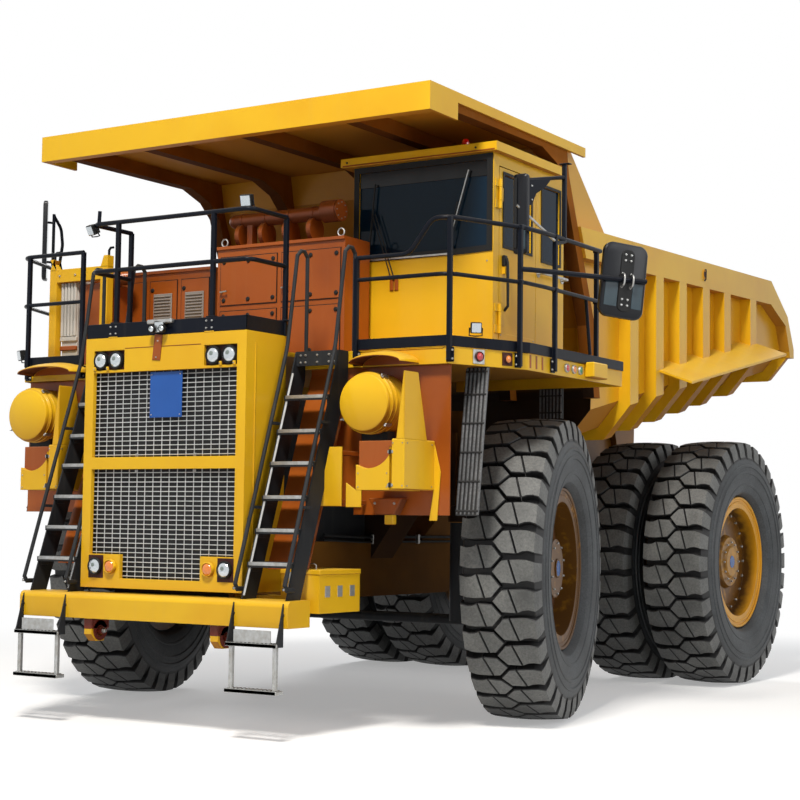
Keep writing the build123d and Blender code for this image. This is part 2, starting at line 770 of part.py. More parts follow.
def cabinet(x0, x1, front, depth, top, columns, rows):
    """Steel cabinet with a lipped top and raised doors in columns and rows."""
    body = box(x0, x1, front, front + depth, deck_z, top)
    lip = box(x0, x1, front - 20, front, top - 30, top)
    doors = []
    gap, edge = 60, 45
    wide = (x1 - x0 - 2 * edge - gap * (columns - 1)) / columns
    high = (top - deck_z - 60 - 2 * edge - gap * (rows - 1)) / rows
    for column in range(columns):
        for row in range(rows):
            x, z = x0 + edge + column * (wide + gap), deck_z + edge + row * (high + gap)
            doors.append(box(x, x + wide, front - 10, front, z, z + high))
    return fuse([body, lip] + doors)


def cabinets():
    """Electrical cabinets on the centre deck, the drum over them and the right-hand ones."""
    drum = bar((-410, -1000, 4530), (640, -1000, 4530), 65)
    big_end = bar((600, -1000, 4540), (760, -1000, 4540), 100)
    feet = [box(x, x + 60, -1040, -960, 4265, 4500) for x in (-250, 450)]
    centre = fuse([cabinet(-460, 960, -1200, 400, 4265, 2, 2), drum, big_end] + feet)
    return solids_of([centre, cabinet(-1950, -750, -900, 550, 4150, 3, 1)])


def grid_box():
    """Portal frame with a ribbed resistor stack on the right deck."""
    x0, x1, y0, y1 = -2400, -1660, -1430, -1340
    legs = [box(x, x + 90, y0, y1, deck_z, 4330) for x in (x0, x1 - 90)]
    beam = box(x0, x1, y0, y1, 4200, 4330)
    stack = box(x0 + 10, x0 + 350, y1 - 30, y1 + 400, deck_z, 4260)
    return fuse(legs + [beam, stack])


def tanks():
    """Fuel tank and hydraulic tank on the right side, strapped to the rail."""
    y0, y1 = 1740, wheelbase - tyre_radius - 325
    split = y0 + 0.62 * (y1 - y0)
    fuel = box(-2150, -rail_outer - 300, y0, split - 25, 1000, 1950)
    oil = box(-2150, -rail_outer - 300, split + 25, y1, 1000, 1950)
    arms = [box(-rail_outer - 300, -rail_outer, y, y + 120, 1560, 1700) for y in (y0 + 160, split + 145)]
    return solids_of([fuse([fuel, arms[0]]), fuse([oil, arms[1]])])


def toolbox():
    body = box(1100, 1480, -2270, -1680, 1000, 1345)
    bracket = box(rail_outer, 1100, -2250, -2100, 1060, 1130)
    return fuse([body, bracket])


def mirror_arm():
    """Left outside mirror on an arm from the corner post."""
    foot = (deck_half_width + 80, deck_corner_y + 45, 3870)
    tip = (3340, -70, 3840)
    glass_case = chamfer(Box(520, 60, 650).edges().filter_by(Axis.Y), 60)
    head = Pos(3090, -330, 3840) * Rot(0, 0, 48) * glass_case
    return fuse([bar(foot, tip, 24), head])


def tall_mirror(lift):
    """Left tall mirror, held by two arms in front of the rails' mast."""
    arm_x, mast_face, head_y = deck_half_width + 7, -325, -825
    upper = across([(mast_face, 4745), (head_y - 45, 4745), (head_y - 45, 4560), (-780, 4560), (-560, 4700),
                    (mast_face, 4700)], arm_x, arm_x + 16)
    lower = across([(mast_face, 4260), (mast_face, 4295), (head_y - 45, 4520), (head_y - 45, 4485)],
                   arm_x, arm_x + 16)
    glass_case = box(arm_x - 160, arm_x, head_y - 45, head_y, 3915 + lift, 4695 + lift)
    return fuse([upper, lower, glass_case])


def mud_flaps():
    """Ribbed rubber flaps before and behind the front wheels."""
    front = across([(-1336, fascia_bottom_z), (-1324, fascia_bottom_z), (-1494, 1800), (-1506, 1800)],
                   deck_half_width - 360, deck_half_width - 150)
    rear = box(deck_half_width - 850, deck_half_width - 600, deck_rear_y - 30, deck_rear_y - 15, 2740,
               fascia_bottom_z)
    return solids_of([front, rear, other_side(front), other_side(rear)])


def lamps():
    """Round lamps in the radiator's upper pockets and on its lower corner plates."""
    found = []
    for x in lamp_places:
        for side in (-1, 1):
            for z, depth in ((lamp_high_z, lamp_pocket), (lamp_low_z, 0)):
                back = radiator_front_y + depth
                found.append(Pos(side * x, back - 15, z) * Rot(90, 0, 0) * Cylinder(lamp_radius, 30))
    beacon = bar((1880, cab_front_y + 60, cab_top_z + roof_thickness),
                 (1880, cab_front_y + 60, cab_top_z + roof_thickness + 75), 38)
    marker_x = deck_half_width
    markers = [bar((marker_x, y, fascia_bottom_z + 70), (marker_x + 12, y, fascia_bottom_z + 70), 34)
               for y in marker_places]
    return solids_of(found + [beacon] + markers + [other_side(m) for m in markers])


def make_fittings():
    export(cabinets(), "deck_cabinets")
    export(grid_box(), "grid_box")
    export(tanks(), "tanks")
    export(toolbox(), "toolbox")
    mirrors = [mirror_arm(), tall_mirror(0), other_side(mirror_arm()), other_side(tall_mirror(60))]
    export(solids_of(mirrors), "mirrors")
    export(mud_flaps(), "mud_flaps")
    export(lamps(), "lamps")


# ---------------------------------------------------------------- load body


def floor_z(y):
    """Height of the floor's underside at y."""
    return floor_front_z + (y - floor_front_y) * floor_slope


def closed_outline(half):
    """Full outline from its right half, left points first."""
    return [(-x, z) for x, z in half[::-1]] + half


side_outline = [(floor_front_y - 40, 2500), (1560, 2975), (1440, 3670), (1040, top_rail_front_z),
                (860, canopy_top_z - 326), (800, canopy_top_z - canopy_plate),
                (1080, canopy_top_z - canopy_plate),
                (1905, top_rail_front_z), (6380, top_rail_rear_z), (6970, 4365),
                (body_tail_y, 3975), (body_tail_y, 3000)]


def headboard_y(z):
    """Station of the headboard sheet's front at height z, between its two upper bends."""
    return 1440 - (z - 3670) * (1440 - 1040) / (top_rail_front_z - 3670)


def load_body():
    """Floor, chamfers, side walls and headboard, as welded plates with an open top."""
    start = 700
    z0 = floor_z(start)
    t = side_wall
    wall_x = body_half_width - rib_depth
    outer = [(floor_half_width, z0), (wall_x, z0 + floor_chamfer), (wall_x, z0 + 3600)]
    inner = [(floor_half_width - 12, z0 + t), (wall_x - t, z0 + floor_chamfer + 10), (wall_x - t, z0 + 3600)]
    ring = closed_outline(outer) + closed_outline(inner)[::-1]
    side = across(side_outline, -wall_x - 5, wall_x + 5)
    tub = lengthwise(ring, start, body_tail_y + 10, floor_slope) & side
    front = side_outline[:6]
    sheet = across(front + [(y + 45, z) for y, z in front[::-1]], -wall_x + t / 2, wall_x - t / 2)
    solid_tub = lengthwise(closed_outline(outer), start, body_tail_y, floor_slope)
    return fuse([tub, sheet & solid_tub])


def body_rib(y, width, top):
    """One hoop round the tub's sides, chamfers and floor, from y over its width."""
    z0 = floor_z(y)
    wall_x = body_half_width - rib_depth
    outer = [(1870, z0 - rib_depth), (body_half_width, z0 + 220), (body_half_width, top)]
    inner = [(floor_half_width, z0), (wall_x, z0 + floor_chamfer), (wall_x, top)]
    return lengthwise(closed_outline(outer) + closed_outline(inner)[::-1], y, y + width, floor_slope)


def top_rail():
    """Left box rail along the top edge and down the tail."""
    d = top_rail_depth
    slope = (top_rail_rear_z - top_rail_front_z) / (6380 - 1905)
    front_top = top_rail_front_z - (1905 - 1040) * slope
    outline = [(headboard_y(front_top) + 4, front_top), (6380, top_rail_rear_z), (6970, 4365), (body_tail_y, 3975),
               (body_tail_y, 3860), (7050, 3860), (7030, 3930), (6890, 4245), (6360, top_rail_rear_z - d),
               (headboard_y(front_top - d) + 4, front_top - d)]
    wall_x = body_half_width - rib_depth
    return across(outline, wall_x, body_half_width)


def bolster():
    """Left lengthwise beam under the floor, with the pivot ear and the hoist's upper ears."""
    gap = 12
    outline = [(1750, rail_top(1750) + gap), (5150, rail_top(5150) + gap), (5600, rail_top(5150) + gap + 60),
               (5600, floor_z(5600)), (1750, floor_z(1750))]
    beam = across(outline, rail_inner, rail_outer)
    ear_outline = [(pivot_y - ear_radius, pivot_z), (pivot_y + ear_radius, pivot_z),
                   (5600, floor_z(5600) - 60), (4900, floor_z(4900) - 60)]
    x0, x1 = rail_outer + 12, rail_outer + 80
    ear = fuse([across(ear_outline, x0, x1), pin(x0, x1, pivot_y, pivot_z, ear_radius)])
    tie = across([(5150, rail_top(5150) + 40), (5600, rail_top(5150) + 100), (5600, floor_z(5600) - 60),
                  (5150, floor_z(5150) - 60)], rail_outer - 10, x0 + 10)
    ear -= pin(x0 - 5, x1 + 5, pivot_y, pivot_z, pivot_pin_radius + running_gap)
    hoist_ears = []
    for x in (hoist_x - hoist_eye_width / 2 - 7 - lug_wall, hoist_x + hoist_eye_width / 2 + 7):
        cheek = across([(2620, floor_z(2620)), (2980, floor_z(2980)),
                        (hoist_head_y + 75, hoist_head_z), (hoist_head_y - 75, hoist_head_z)], x, x + lug_wall)
        hoist_ears += [cheek, pin(x, x + lug_wall, hoist_head_y, hoist_head_z, 75)]
    return fuse([beam, ear, tie] + hoist_ears)


def hoops():
    """Seven hoops under and beside the tub, the last one along its tail."""
    found = [body_rib(y - rib_width / 2, rib_width, 4450) for y in rib_stations]
    outline = across(side_outline, -body_half_width, body_half_width)
    return found + [body_rib(body_tail_y - tail_band, tail_band, 4050) & outline]


def body_ribs():
    """The hoops, each cut where the bolsters and the top rails run through."""
    left = fuse([top_rail(), bolster()])
    return solids_of([hoop - left - other_side(left) for hoop in hoops()])


def ledge():
    """Left sloping rock ledge over the rear tyres, notched round the hoops."""
    wall_x = body_half_width - rib_depth
    inner_z = ledge_inner_z + rib_depth * ledge_drop / ledge_reach
    outer_x, outer_z = body_half_width + ledge_reach, ledge_inner_z - ledge_drop
    section = [(wall_x, inner_z), (outer_x, outer_z), (outer_x, outer_z - ledge_wall),
               (wall_x, inner_z - ledge_wall)]
    return lengthwise(section, ledge_front_y, ledge_rear_y, floor_slope * 0.95) - hoops()


def canopy_beam(x, width):
    """Lengthwise canopy beam that turns down into a headboard post."""
    top = canopy_top_z - canopy_plate
    outline = [(canopy_front_y + 100, top), (canopy_front_y + 100, top - 140), (300, top - 121),
               (600, top - 221), (770, top - 371), (910, top_rail_front_z), (1310, 3670), (1430, 2975),
               (1560, 2975), (1440, 3670), (1040, top_rail_front_z), (860, canopy_top_z - 326), (800, top)]
    return across(outline, x - width / 2, x + width / 2)


def canopy():
    """Cab guard: a plate with a deep front beam, end returns and lengthwise beams."""
    w = body_half_width
    z = canopy_top_z
    plate = box(-w, w, canopy_front_y, canopy_rear_y, z - canopy_plate, z)
    beam = box(-w, w, canopy_front_y, canopy_front_y + 100, z - canopy_beam_depth, z)
    ends = [box(x, x + 30, canopy_front_y, canopy_front_y + canopy_return, z - canopy_beam_depth, z)
            for x in (-w, w - 30)]
    edges = [box(x, x + 30, canopy_front_y, canopy_rear_y, z - 90, z) for x in (-w, w - 30)]
    return fuse([plate, beam] + ends + edges)


def canopy_beams():
    """Five lengthwise beams under the canopy that turn down the headboard."""
    edge = body_half_width - 30 - 65
    return solids_of([canopy_beam(x, 130) for x in (-edge, -1150, 0, 1150, edge)])


def make_body():
    export(load_body(), "load_body")
    export(body_ribs(), "body_ribs")
    export(pair(top_rail()), "top_rails")
    export(pair(ledge()), "rock_ledges")
    export(pair(bolster()), "bolsters")
    export(canopy(), "canopy")
    export(canopy_beams(), "canopy_beams")


# ---------------------------------------------------------------- hoists


def hoist_axis():
    """Foot point, unit direction and pin-to-pin length of the hoist at rest."""
    foot = Vector(0, hoist_foot_y, hoist_foot_z)
    run = Vector(0, hoist_head_y, hoist_head_z) - foot
    return foot, run.normalized(), run.length


def on_hoist(shape, side):
    """Stands a Z-axis shape on the hoist's foot pin."""
    foot, direction, _ = hoist_axis()
    placed = Plane(origin=foot, x_dir=(1, 0, 0), z_dir=direction) * shape
    return Pos(side * hoist_x, 0, 0) * placed


def hollow_rod(z0, z1, radius, bore, blind):
    """Tube from z0 to z1 with a closed foot of the given thickness."""
    solid = Pos(0, 0, (z0 + z1) / 2) * Cylinder(radius, z1 - z0)
    return solid - Pos(0, 0, (z0 + blind + z1) / 2 + 1) * Cylinder(bore, z1 - z0 - blind + 2)


def hoist_barrel():
    body = hollow_rod(90, hoist_barrel_length, hoist_barrel_radius, hoist_stage_radius + running_gap, 25)
    eye = Rot(0, 90, 0) * Cylinder(100, 100)
    neck = Pos(0, 0, 60) * Box(100, 140, 100)
    return fuse([body, eye, neck]) - Rot(0, 90, 0) * Cylinder(hoist_pin_radius + running_gap, 200)


def hoist_stage():
    foot = 120
    return hollow_rod(foot, hoist_stage_length, hoist_stage_radius, hoist_rod_radius + running_gap, 20)


def hoist_rod():
    """Inner rod with its eye and pin; the pin stops short of the body's ears."""
    _, _, length = hoist_axis()
    foot = 145
    shoulder = length - 150
    rod = Pos(0, 0, (foot + shoulder) / 2) * Cylinder(hoist_rod_radius, shoulder - foot)
    neck = Pos(0, 0, shoulder + 60) * Box(hoist_eye_width, 120, 140)
    eye = Pos(0, 0, length) * Rot(0, 90, 0) * Cylinder(85, hoist_eye_width)
    return fuse([rod, neck, eye])


def make_hoists():
    for name, side in (("left", 1), ("right", -1)):
        export(on_hoist(hoist_barrel(), side), f"hoist_barrel_{name}")
        export(on_hoist(hoist_stage(), side), f"hoist_stage_{name}")
        export(on_hoist(hoist_rod(), side), f"hoist_rod_{name}")


os.makedirs("parts", exist_ok=True)
make_wheels()
make_steering()
make_chassis()
make_front()
make_decks()
make_cab()
make_fittings()
make_body()
make_hoists()
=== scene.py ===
import bmesh
import bpy
import json
import math
from mathutils import Euler, Matrix, Vector


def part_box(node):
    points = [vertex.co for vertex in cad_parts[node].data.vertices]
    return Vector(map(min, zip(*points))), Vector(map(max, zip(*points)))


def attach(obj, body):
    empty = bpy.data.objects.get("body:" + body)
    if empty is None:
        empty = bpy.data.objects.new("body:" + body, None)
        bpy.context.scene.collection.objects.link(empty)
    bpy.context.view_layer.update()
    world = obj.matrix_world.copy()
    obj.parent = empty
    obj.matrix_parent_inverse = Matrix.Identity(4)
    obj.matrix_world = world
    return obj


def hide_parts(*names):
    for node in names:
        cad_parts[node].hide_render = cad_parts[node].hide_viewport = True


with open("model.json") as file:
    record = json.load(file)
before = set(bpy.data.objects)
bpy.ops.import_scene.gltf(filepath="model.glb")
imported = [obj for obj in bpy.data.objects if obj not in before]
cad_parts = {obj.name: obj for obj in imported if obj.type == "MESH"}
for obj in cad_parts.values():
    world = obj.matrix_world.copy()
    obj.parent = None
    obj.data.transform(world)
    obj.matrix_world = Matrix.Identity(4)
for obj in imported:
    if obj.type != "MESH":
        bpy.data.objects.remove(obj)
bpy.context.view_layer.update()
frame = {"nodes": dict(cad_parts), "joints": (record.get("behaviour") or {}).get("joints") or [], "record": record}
nodes = frame["nodes"]
joints = {joint["name"]: joint for joint in frame["joints"]}


# ------------------------------------------------------------------ painted steel
# Nearly all of the truck is welded plate, sprayed with a two-part polyurethane enamel over
# primer. The film is glossy with a faint orange peel, and quarry dust lies on it where a
# plate faces up and runs down the walls.

def rgb(text):
    """An sRGB hex value as linear red, green, blue and alpha."""
    parts = [int(text[i:i + 2], 16) / 255 for i in (1, 3, 5)]
    return [c / 12.92 if c <= 0.04045 else ((c + 0.055) / 1.055) ** 2.4 for c in parts] + [1.0]


def add(tree, kind, inputs=None, **settings):
    """Adds one node; each input gets a value or the output of another node."""
    node = tree.nodes.new(kind)
    for name, value in settings.items():
        setattr(node, name, value)
    for name, value in (inputs or {}).items():
        if isinstance(value, bpy.types.NodeSocket):
            tree.links.new(value, node.inputs[name])
        else:
            node.inputs[name].default_value = value
    return node.outputs


def new_material(name):
    """An empty node material and its tree."""
    material = bpy.data.materials.new(name)
    material.use_nodes = True
    material.node_tree.nodes.clear()
    return material, material.node_tree


def finish_material(tree, surface):
    """Ends a material's tree with its surface."""
    add(tree, "ShaderNodeOutputMaterial", {"Surface": surface})


def sprayed_enamel(name, colour, aged, dust="#C9B48C", dusty=0.25, roughness=0.34, coat=0.10, dirt_and_underside_shade=None,
        bare=0.0, dish_shade_span=None, shaded=None, gloss=0.3):
    """Sprayed enamel: an even colour with faint sun-aged patches, dust and rain streaks.

    Faces that look down take on a darker colour, if one is given, as dirt and painted shade;
    bare is how far the upper faces are scoured to steel; a pair of distances from the truck's
    middle sets where a painted shade in the wheels' dishes thins out; and shaded gives the
    heights between which a painted shade on front faces deepens downwards."""
    patch_size, speck_size, peel_size, worn_edge = 0.9, 0.12, 0.03, 0.007
    material, tree = new_material(name)
    surface = add(tree, "ShaderNodeTexCoord")
    place = surface["Object"]
    patches = add(tree, "ShaderNodeTexNoise", {"Vector": place, "Scale": 1 / patch_size,
        "Detail": 4.0})["Fac"]
    patches = add(tree, "ShaderNodeMapRange", {"Value": patches, "From Min": 0.42, "From Max": 0.75})[0]
    tone = add(tree, "ShaderNodeMix", {0: patches, 6: rgb(colour), 7: rgb(aged)}, data_type="RGBA")[2]
    stretched = add(tree, "ShaderNodeMapping", {"Vector": place, "Scale": (14.0, 14.0, 0.7)})[0]
    streaks = add(tree, "ShaderNodeTexNoise", {"Vector": stretched, "Scale": 1.0, "Detail": 3.0})["Fac"]
    streaks = add(tree, "ShaderNodeMapRange", {"Value": streaks, "From Min": 0.55, "From Max": 0.85,
        "To Max": 0.22})[0]
    facing = add(tree, "ShaderNodeSeparateXYZ", {0: surface["Normal"]})
    level = facing[2]
    up = add(tree, "ShaderNodeMapRange", {"Value": level, "From Min": 0.3, "From Max": 0.95})[0]
    specks = add(tree, "ShaderNodeTexNoise", {"Vector": place, "Scale": 1 / speck_size,
        "Detail": 6.0})["Fac"]
    lying = add(tree, "ShaderNodeMath", {0: up, 1: specks}, operation="MULTIPLY")[0]
    cover = add(tree, "ShaderNodeMath", {0: lying, 1: dusty}, operation="MULTIPLY")[0]
    film = add(tree, "ShaderNodeMath", {0: streaks, 1: dusty}, operation="MULTIPLY")[0]
    cover = add(tree, "ShaderNodeMath", {0: cover, 1: film}, operation="ADD", use_clamp=True)[0]
    tone = add(tree, "ShaderNodeMix", {0: cover, 6: tone, 7: rgb(dust)}, data_type="RGBA")[2]
    # Painted shade with some dirt: faces that look down turn darker and rougher.
    if dirt_and_underside_shade:
        under = add(tree, "ShaderNodeMapRange", {"Value": level, "From Min": 0.15, "From Max": -0.5,
            "To Max": 0.85})[0]
        tone = add(tree, "ShaderNodeMix", {0: under, 6: tone, 7: rgb(dirt_and_underside_shade)}, data_type="RGBA")[2]
    # Painted shade in the wheels' deep dishes: darker the nearer a face lies to the truck's middle, broken up by
    # the specks.
    if dish_shade_span:
        across = add(tree, "ShaderNodeSeparateXYZ", {0: place})[0]
        across = add(tree, "ShaderNodeMath", {0: across}, operation="ABSOLUTE")[0]
        shade_mask = add(tree, "ShaderNodeMapRange", {"Value": across, "From Min": dish_shade_span[0],
            "From Max": dish_shade_span[1], "To Min": 1.25, "To Max": 0.0})[0]
        shade_mask = add(tree, "ShaderNodeMath", {0: shade_mask, 1: specks}, operation="MULTIPLY")[0]
        shade_mask = add(tree, "ShaderNodeMapRange", {"Value": shade_mask, "From Max": 0.55, "To Max": 0.9})[0]
        tone = add(tree, "ShaderNodeMix", {0: shade_mask, 6: tone, 7: rgb("#43260F")}, data_type="RGBA")[2]
    # Painted shade on front faces: they turn near-black towards the bottom, between the heights given.
    if shaded:
        ahead = add(tree, "ShaderNodeMapRange", {"Value": facing[1], "From Min": -0.5, "From Max": -0.9})[0]
        height = add(tree, "ShaderNodeSeparateXYZ", {0: place})[2]
        height = add(tree, "ShaderNodeMapRange", {"Value": height, "From Min": shaded[1],
            "From Max": shaded[0]})[0]
        shade_mask = add(tree, "ShaderNodeMath", {0: ahead, 1: height}, operation="MULTIPLY")[0]
        tone = add(tree, "ShaderNodeMix", {0: shade_mask, 6: tone, 7: rgb("#1C0F06")}, data_type="RGBA")[2]
    metal = 0.0
    if bare:
        worn = add(tree, "ShaderNodeMath", {0: up, 1: bare}, operation="MULTIPLY")[0]
        scars = add(tree, "ShaderNodeMapping", {"Vector": place, "Scale": (22.0, 1.2, 22.0)})[0]
        scars = add(tree, "ShaderNodeTexNoise", {"Vector": scars, "Scale": 1.0, "Detail": 6.0})["Fac"]
        steel = add(tree, "ShaderNodeMix", {0: scars, 6: rgb("#8E8880"), 7: rgb("#5D554B")},
            data_type="RGBA")[2]
        tone = add(tree, "ShaderNodeMix", {0: worn, 6: tone, 7: steel}, data_type="RGBA")[2]
        metal = add(tree, "ShaderNodeMath", {0: worn, 1: 0.55}, operation="MULTIPLY")[0]
    dull = add(tree, "ShaderNodeMapRange", {"Value": cover, "To Min": roughness,
        "To Max": roughness + 0.45})[0]
    if dirt_and_underside_shade:
        dull = add(tree, "ShaderNodeMath", {0: dull, 1: under}, operation="MAXIMUM")[0]
    edge = add(tree, "ShaderNodeBevel", {"Radius": worn_edge}, samples=4)[0]
    peel = add(tree, "ShaderNodeTexNoise", {"Vector": place, "Scale": 1 / peel_size, "Detail": 2.0})["Fac"]
    bump = add(tree, "ShaderNodeBump", {"Height": peel, "Strength": 0.06, "Distance": 0.002,
        "Normal": edge})[0]
    paint = add(tree, "ShaderNodeBsdfPrincipled", {
        "Base Color": tone, "Roughness": dull, "Normal": bump, "Metallic": metal, "Coat Weight": coat,
        "Coat Roughness": 0.12, "IOR": 1.5, "Specular IOR Level": gloss})[0]
    finish_material(tree, paint)
    return material


def coated(node, material):
    """Gives a carried-over node its finish."""
    slots = nodes[node].data.materials
    slots.clear()
    slots.append(material)


# The darker colour each enamel takes on faces that look down is painted shade with some dirt.
yellow = sprayed_enamel("yellow_polyurethane_enamel", "#F0C01F", "#E6AE18", dirt_and_underside_shade="#96580F")
# A dark brown that stands partly for mud and partly for painted shade under the truck.
mud_and_shade_enamel = sprayed_enamel("mud_and_shade_chassis_enamel", "#A8701C", "#704716", dust="#7D5B36",
    dusty=0.6, roughness=0.5, dirt_and_underside_shade="#42260F")
# The orange-brown is darkened to stand for shade: painted shade on the cabinets, and on the linings and plates it
# is used for under the decks.
orange = sprayed_enamel("orange_brown_enamel_darkened_for_shade", "#A95618", "#8E430E", dusty=0.2, dirt_and_underside_shade="#4A210B")
navy = sprayed_enamel("navy_black_enamel", "#0B0F19", "#10151F", dust="#8C8578", dusty=0.15, coat=0.0,
    gloss=0.12)
grey_enamel = sprayed_enamel("light_grey_enamel", "#A9ABAC", "#939698", dusty=0.2)
steel_black = sprayed_enamel("black_chassis_enamel", "#25272A", "#2E3033", dust="#8C8578", dusty=0.35,
    roughness=0.5, coat=0.0, gloss=0.15)
finishes = {"yellow_paint": yellow, "orange_paint": orange, "navy_paint": navy,
            "grey_paint": grey_enamel, "dark_steel": steel_black, "hoist_paint": yellow}
for part in frame["record"]["subparts"]:
    coated(part["node"], finishes.get(part["material_slot"], steel_black))
for node in ("rear_axle", "bolsters", "tanks"):
    coated(node, mud_and_shade_enamel)
# The frame's dark brown, and the near-black on its front faces, are painted shade under the decks, with some mud.
coated("frame", sprayed_enamel("frame_enamel_mud_and_painted_shade", "#7A5018", "#4E3010", dust="#6B4E30", dusty=0.5,
    roughness=0.7, coat=0.0, dirt_and_underside_shade="#2E1A0C", shaded=(2.2, 3.0), gloss=0.15))
# The canopy's beams are dark brown with darker undersides and fronts: painted shade under the canopy.
coated("canopy_beams", sprayed_enamel("canopy_beam_painted_shade_enamel", "#A05E18", "#7C430E", dirt_and_underside_shade="#3A1C08",
    roughness=0.7, coat=0.0, shaded=(3.05, 3.45), gloss=0.1))
# Its upper faces are scoured to steel; its downward faces and the foot of its front wall are darkened as painted
# shade.
coated("load_body", sprayed_enamel("scoured_body_enamel_painted_shade", "#F0B41A", "#E3A416", dirt_and_underside_shade="#8A5216", bare=0.9,
    shaded=(3.05, 3.45)))


# ------------------------------------------------------------------ tyres
# Six radial earthmover tyres of natural rubber. Each has 34 block lugs a side with a narrow
# slit in each, interlocked at the middle, and moulded rings on the sidewall.

class Gathered:
    """Closed shells gathered into one mesh, each with its own finish."""

    def __init__(self):
        self.mesh = bmesh.new()
        self.finishes = []

    def take(self, shell, finish=None, place=None, smooth=None):
        """Adds a bmesh in one finish, or a plain mesh with its own, moved to its place."""
        if isinstance(shell, bmesh.types.BMesh):
            bmesh.ops.recalc_face_normals(shell, faces=shell.faces)
            data = bpy.data.meshes.new("shell")
            shell.to_mesh(data)
            shell.free()
        else:
            data = shell.copy()
        if place is not None:
            data.transform(place)
        own = [finish] if finish else list(data.materials)
        for found in own:
            if found not in self.finishes:
                self.finishes.append(found)
        index = [self.finishes.index(found) for found in own]
        for face in data.polygons:
            face.material_index = index[0 if finish else face.material_index]
            if smooth is not None:
                face.use_smooth = smooth
        if smooth:
            data.set_sharp_from_angle(angle=math.radians(32))
        self.mesh.from_mesh(data)
        bpy.data.meshes.remove(data)
        return self

    def plain(self, name):
        """The gathered mesh with its finishes."""
        data = bpy.data.meshes.new(name)
        self.mesh.to_mesh(data)
        self.mesh.free()
        for finish in self.finishes:
            data.materials.append(finish)
        return data

    def ride(self, name, body, slot, *replaced):
        """Makes the finished piece, which moves with a body and may stand for CAD nodes."""
        made = bpy.data.objects.new(name, self.plain(name))
        bpy.context.scene.collection.objects.link(made)
        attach(made, body)
        if replaced:
            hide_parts(*replaced)


def turned(profile, segments=48):
    """A closed profile of (radius, height) points turned about Z."""
    mesh = bmesh.new()
    corners = [mesh.verts.new((r, 0.0, z)) for r, z in profile]
    ring = [mesh.edges.new((corners[i], corners[(i + 1) % len(corners)])) for i in range(len(corners))]
    bmesh.ops.spin(mesh, geom=corners + ring, cent=(0, 0, 0), axis=(0, 0, 1), angle=math.tau,
        steps=segments, use_merge=True, use_duplicate=False)
    bmesh.ops.remove_doubles(mesh, verts=mesh.verts, dist=1e-5)
    bmesh.ops.dissolve_degenerate(mesh, edges=mesh.edges, dist=1e-6)
    return mesh


def band(inner, outer, high, low=0.0, segments=28):
    """A flat ring or, when inner is 0, a disc about Z."""
    return turned([(inner, low), (outer, low), (outer, high), (inner, high)], segments)


def spun(degrees, axis):
    """A turn about an axis through the origin."""
    return Matrix.Rotation(math.radians(degrees), 4, axis)


def at(place, facing=None):
    """A move to a place, after a turn that makes a shape's top face some way."""
    move = Matrix.Translation(place)
    return move @ Vector(facing).to_track_quat("Z", "Y").to_matrix().to_4x4() if facing else move


def about_x(centre=(0, 0, 0)):
    """Turns a shape made about Z to lie about X, and moves it."""
    return at(centre) @ spun(90, "Y")


def about_y(centre=(0, 0, 0)):
    """Turns a shape made about Z so that its top faces the front, and moves it."""
    return at(centre) @ spun(90, "X")


def new_tree(name, **inputs):
    """A Geometry Nodes tree with named inputs, and what its entry gives."""
    tree = bpy.data.node_groups.new(name, "GeometryNodeTree")
    tree.interface.new_socket("Geometry", in_out="INPUT", socket_type="NodeSocketGeometry")
    for label, kind in inputs.items():
        tree.interface.new_socket(label, in_out="INPUT", socket_type="NodeSocket" + kind)
    tree.interface.new_socket("Geometry", in_out="OUTPUT", socket_type="NodeSocketGeometry")
    return tree, add(tree, "NodeGroupInput")


def end_tree(tree, entry, shapes):
    """Ends a tree: its shapes made real, in the material it was given."""
    solid = add(tree, "GeometryNodeRealizeInstances", {0: shapes})[0]
    dressed = add(tree, "GeometryNodeSetMaterial", {"Geometry": solid, "Material": entry["Material"]})[0]
    add(tree, "NodeGroupOutput", {0: dressed})
    return tree


def baked(tree, source, **values):
    """What a tree makes of a mesh, as a plain mesh."""
    holder = bpy.data.objects.new(tree.name, source)
    bpy.context.scene.collection.objects.link(holder)
    modifier = holder.modifiers.new(tree.name, "NODES")
    modifier.node_group = tree
    for item in tree.interface.items_tree:
        if item.name in values:
            modifier[item.identifier] = values[item.name]
    graph = bpy.context.evaluated_depsgraph_get()
    made = bpy.data.meshes.new_from_object(holder.evaluated_get(graph))
    bpy.data.objects.remove(holder)
    made.materials.clear()
    made.materials.append(values["Material"])
    return made


def ring_tree():
    """Copies of a mesh evenly turned about the X axis."""
    tree, entry = new_tree("turned_copies", Copies="Int", Material="Material")
    spots = add(tree, "GeometryNodeMeshLine", {"Count": entry["Copies"], "Offset": (0, 0, 0)})["Mesh"]
    step = add(tree, "ShaderNodeMath", {0: math.tau, 1: entry["Copies"]}, operation="DIVIDE")[0]
    place = add(tree, "GeometryNodeInputIndex")[0]
    turn = add(tree, "ShaderNodeMath", {0: place, 1: step}, operation="MULTIPLY")[0]
    angles = add(tree, "ShaderNodeCombineXYZ", {"X": turn})[0]
    copies = add(tree, "GeometryNodeInstanceOnPoints", {
        "Points": spots, "Instance": entry["Geometry"], "Rotation": angles})[0]
    return end_tree(tree, entry, copies)


turned_copies = ring_tree()


def copied(tree, shell, **values):
    """A bmesh multiplied by a tree, as a plain mesh in one finish."""
    source = bpy.data.meshes.new("single")
    bmesh.ops.recalc_face_normals(shell, faces=shell.faces)
    shell.to_mesh(source)
    shell.free()
    return baked(tree, source, **values)


def ring_of(shell, count, finish):
    """A bmesh copied round the X axis."""
    return copied(turned_copies, shell, Copies=count, Material=finish)


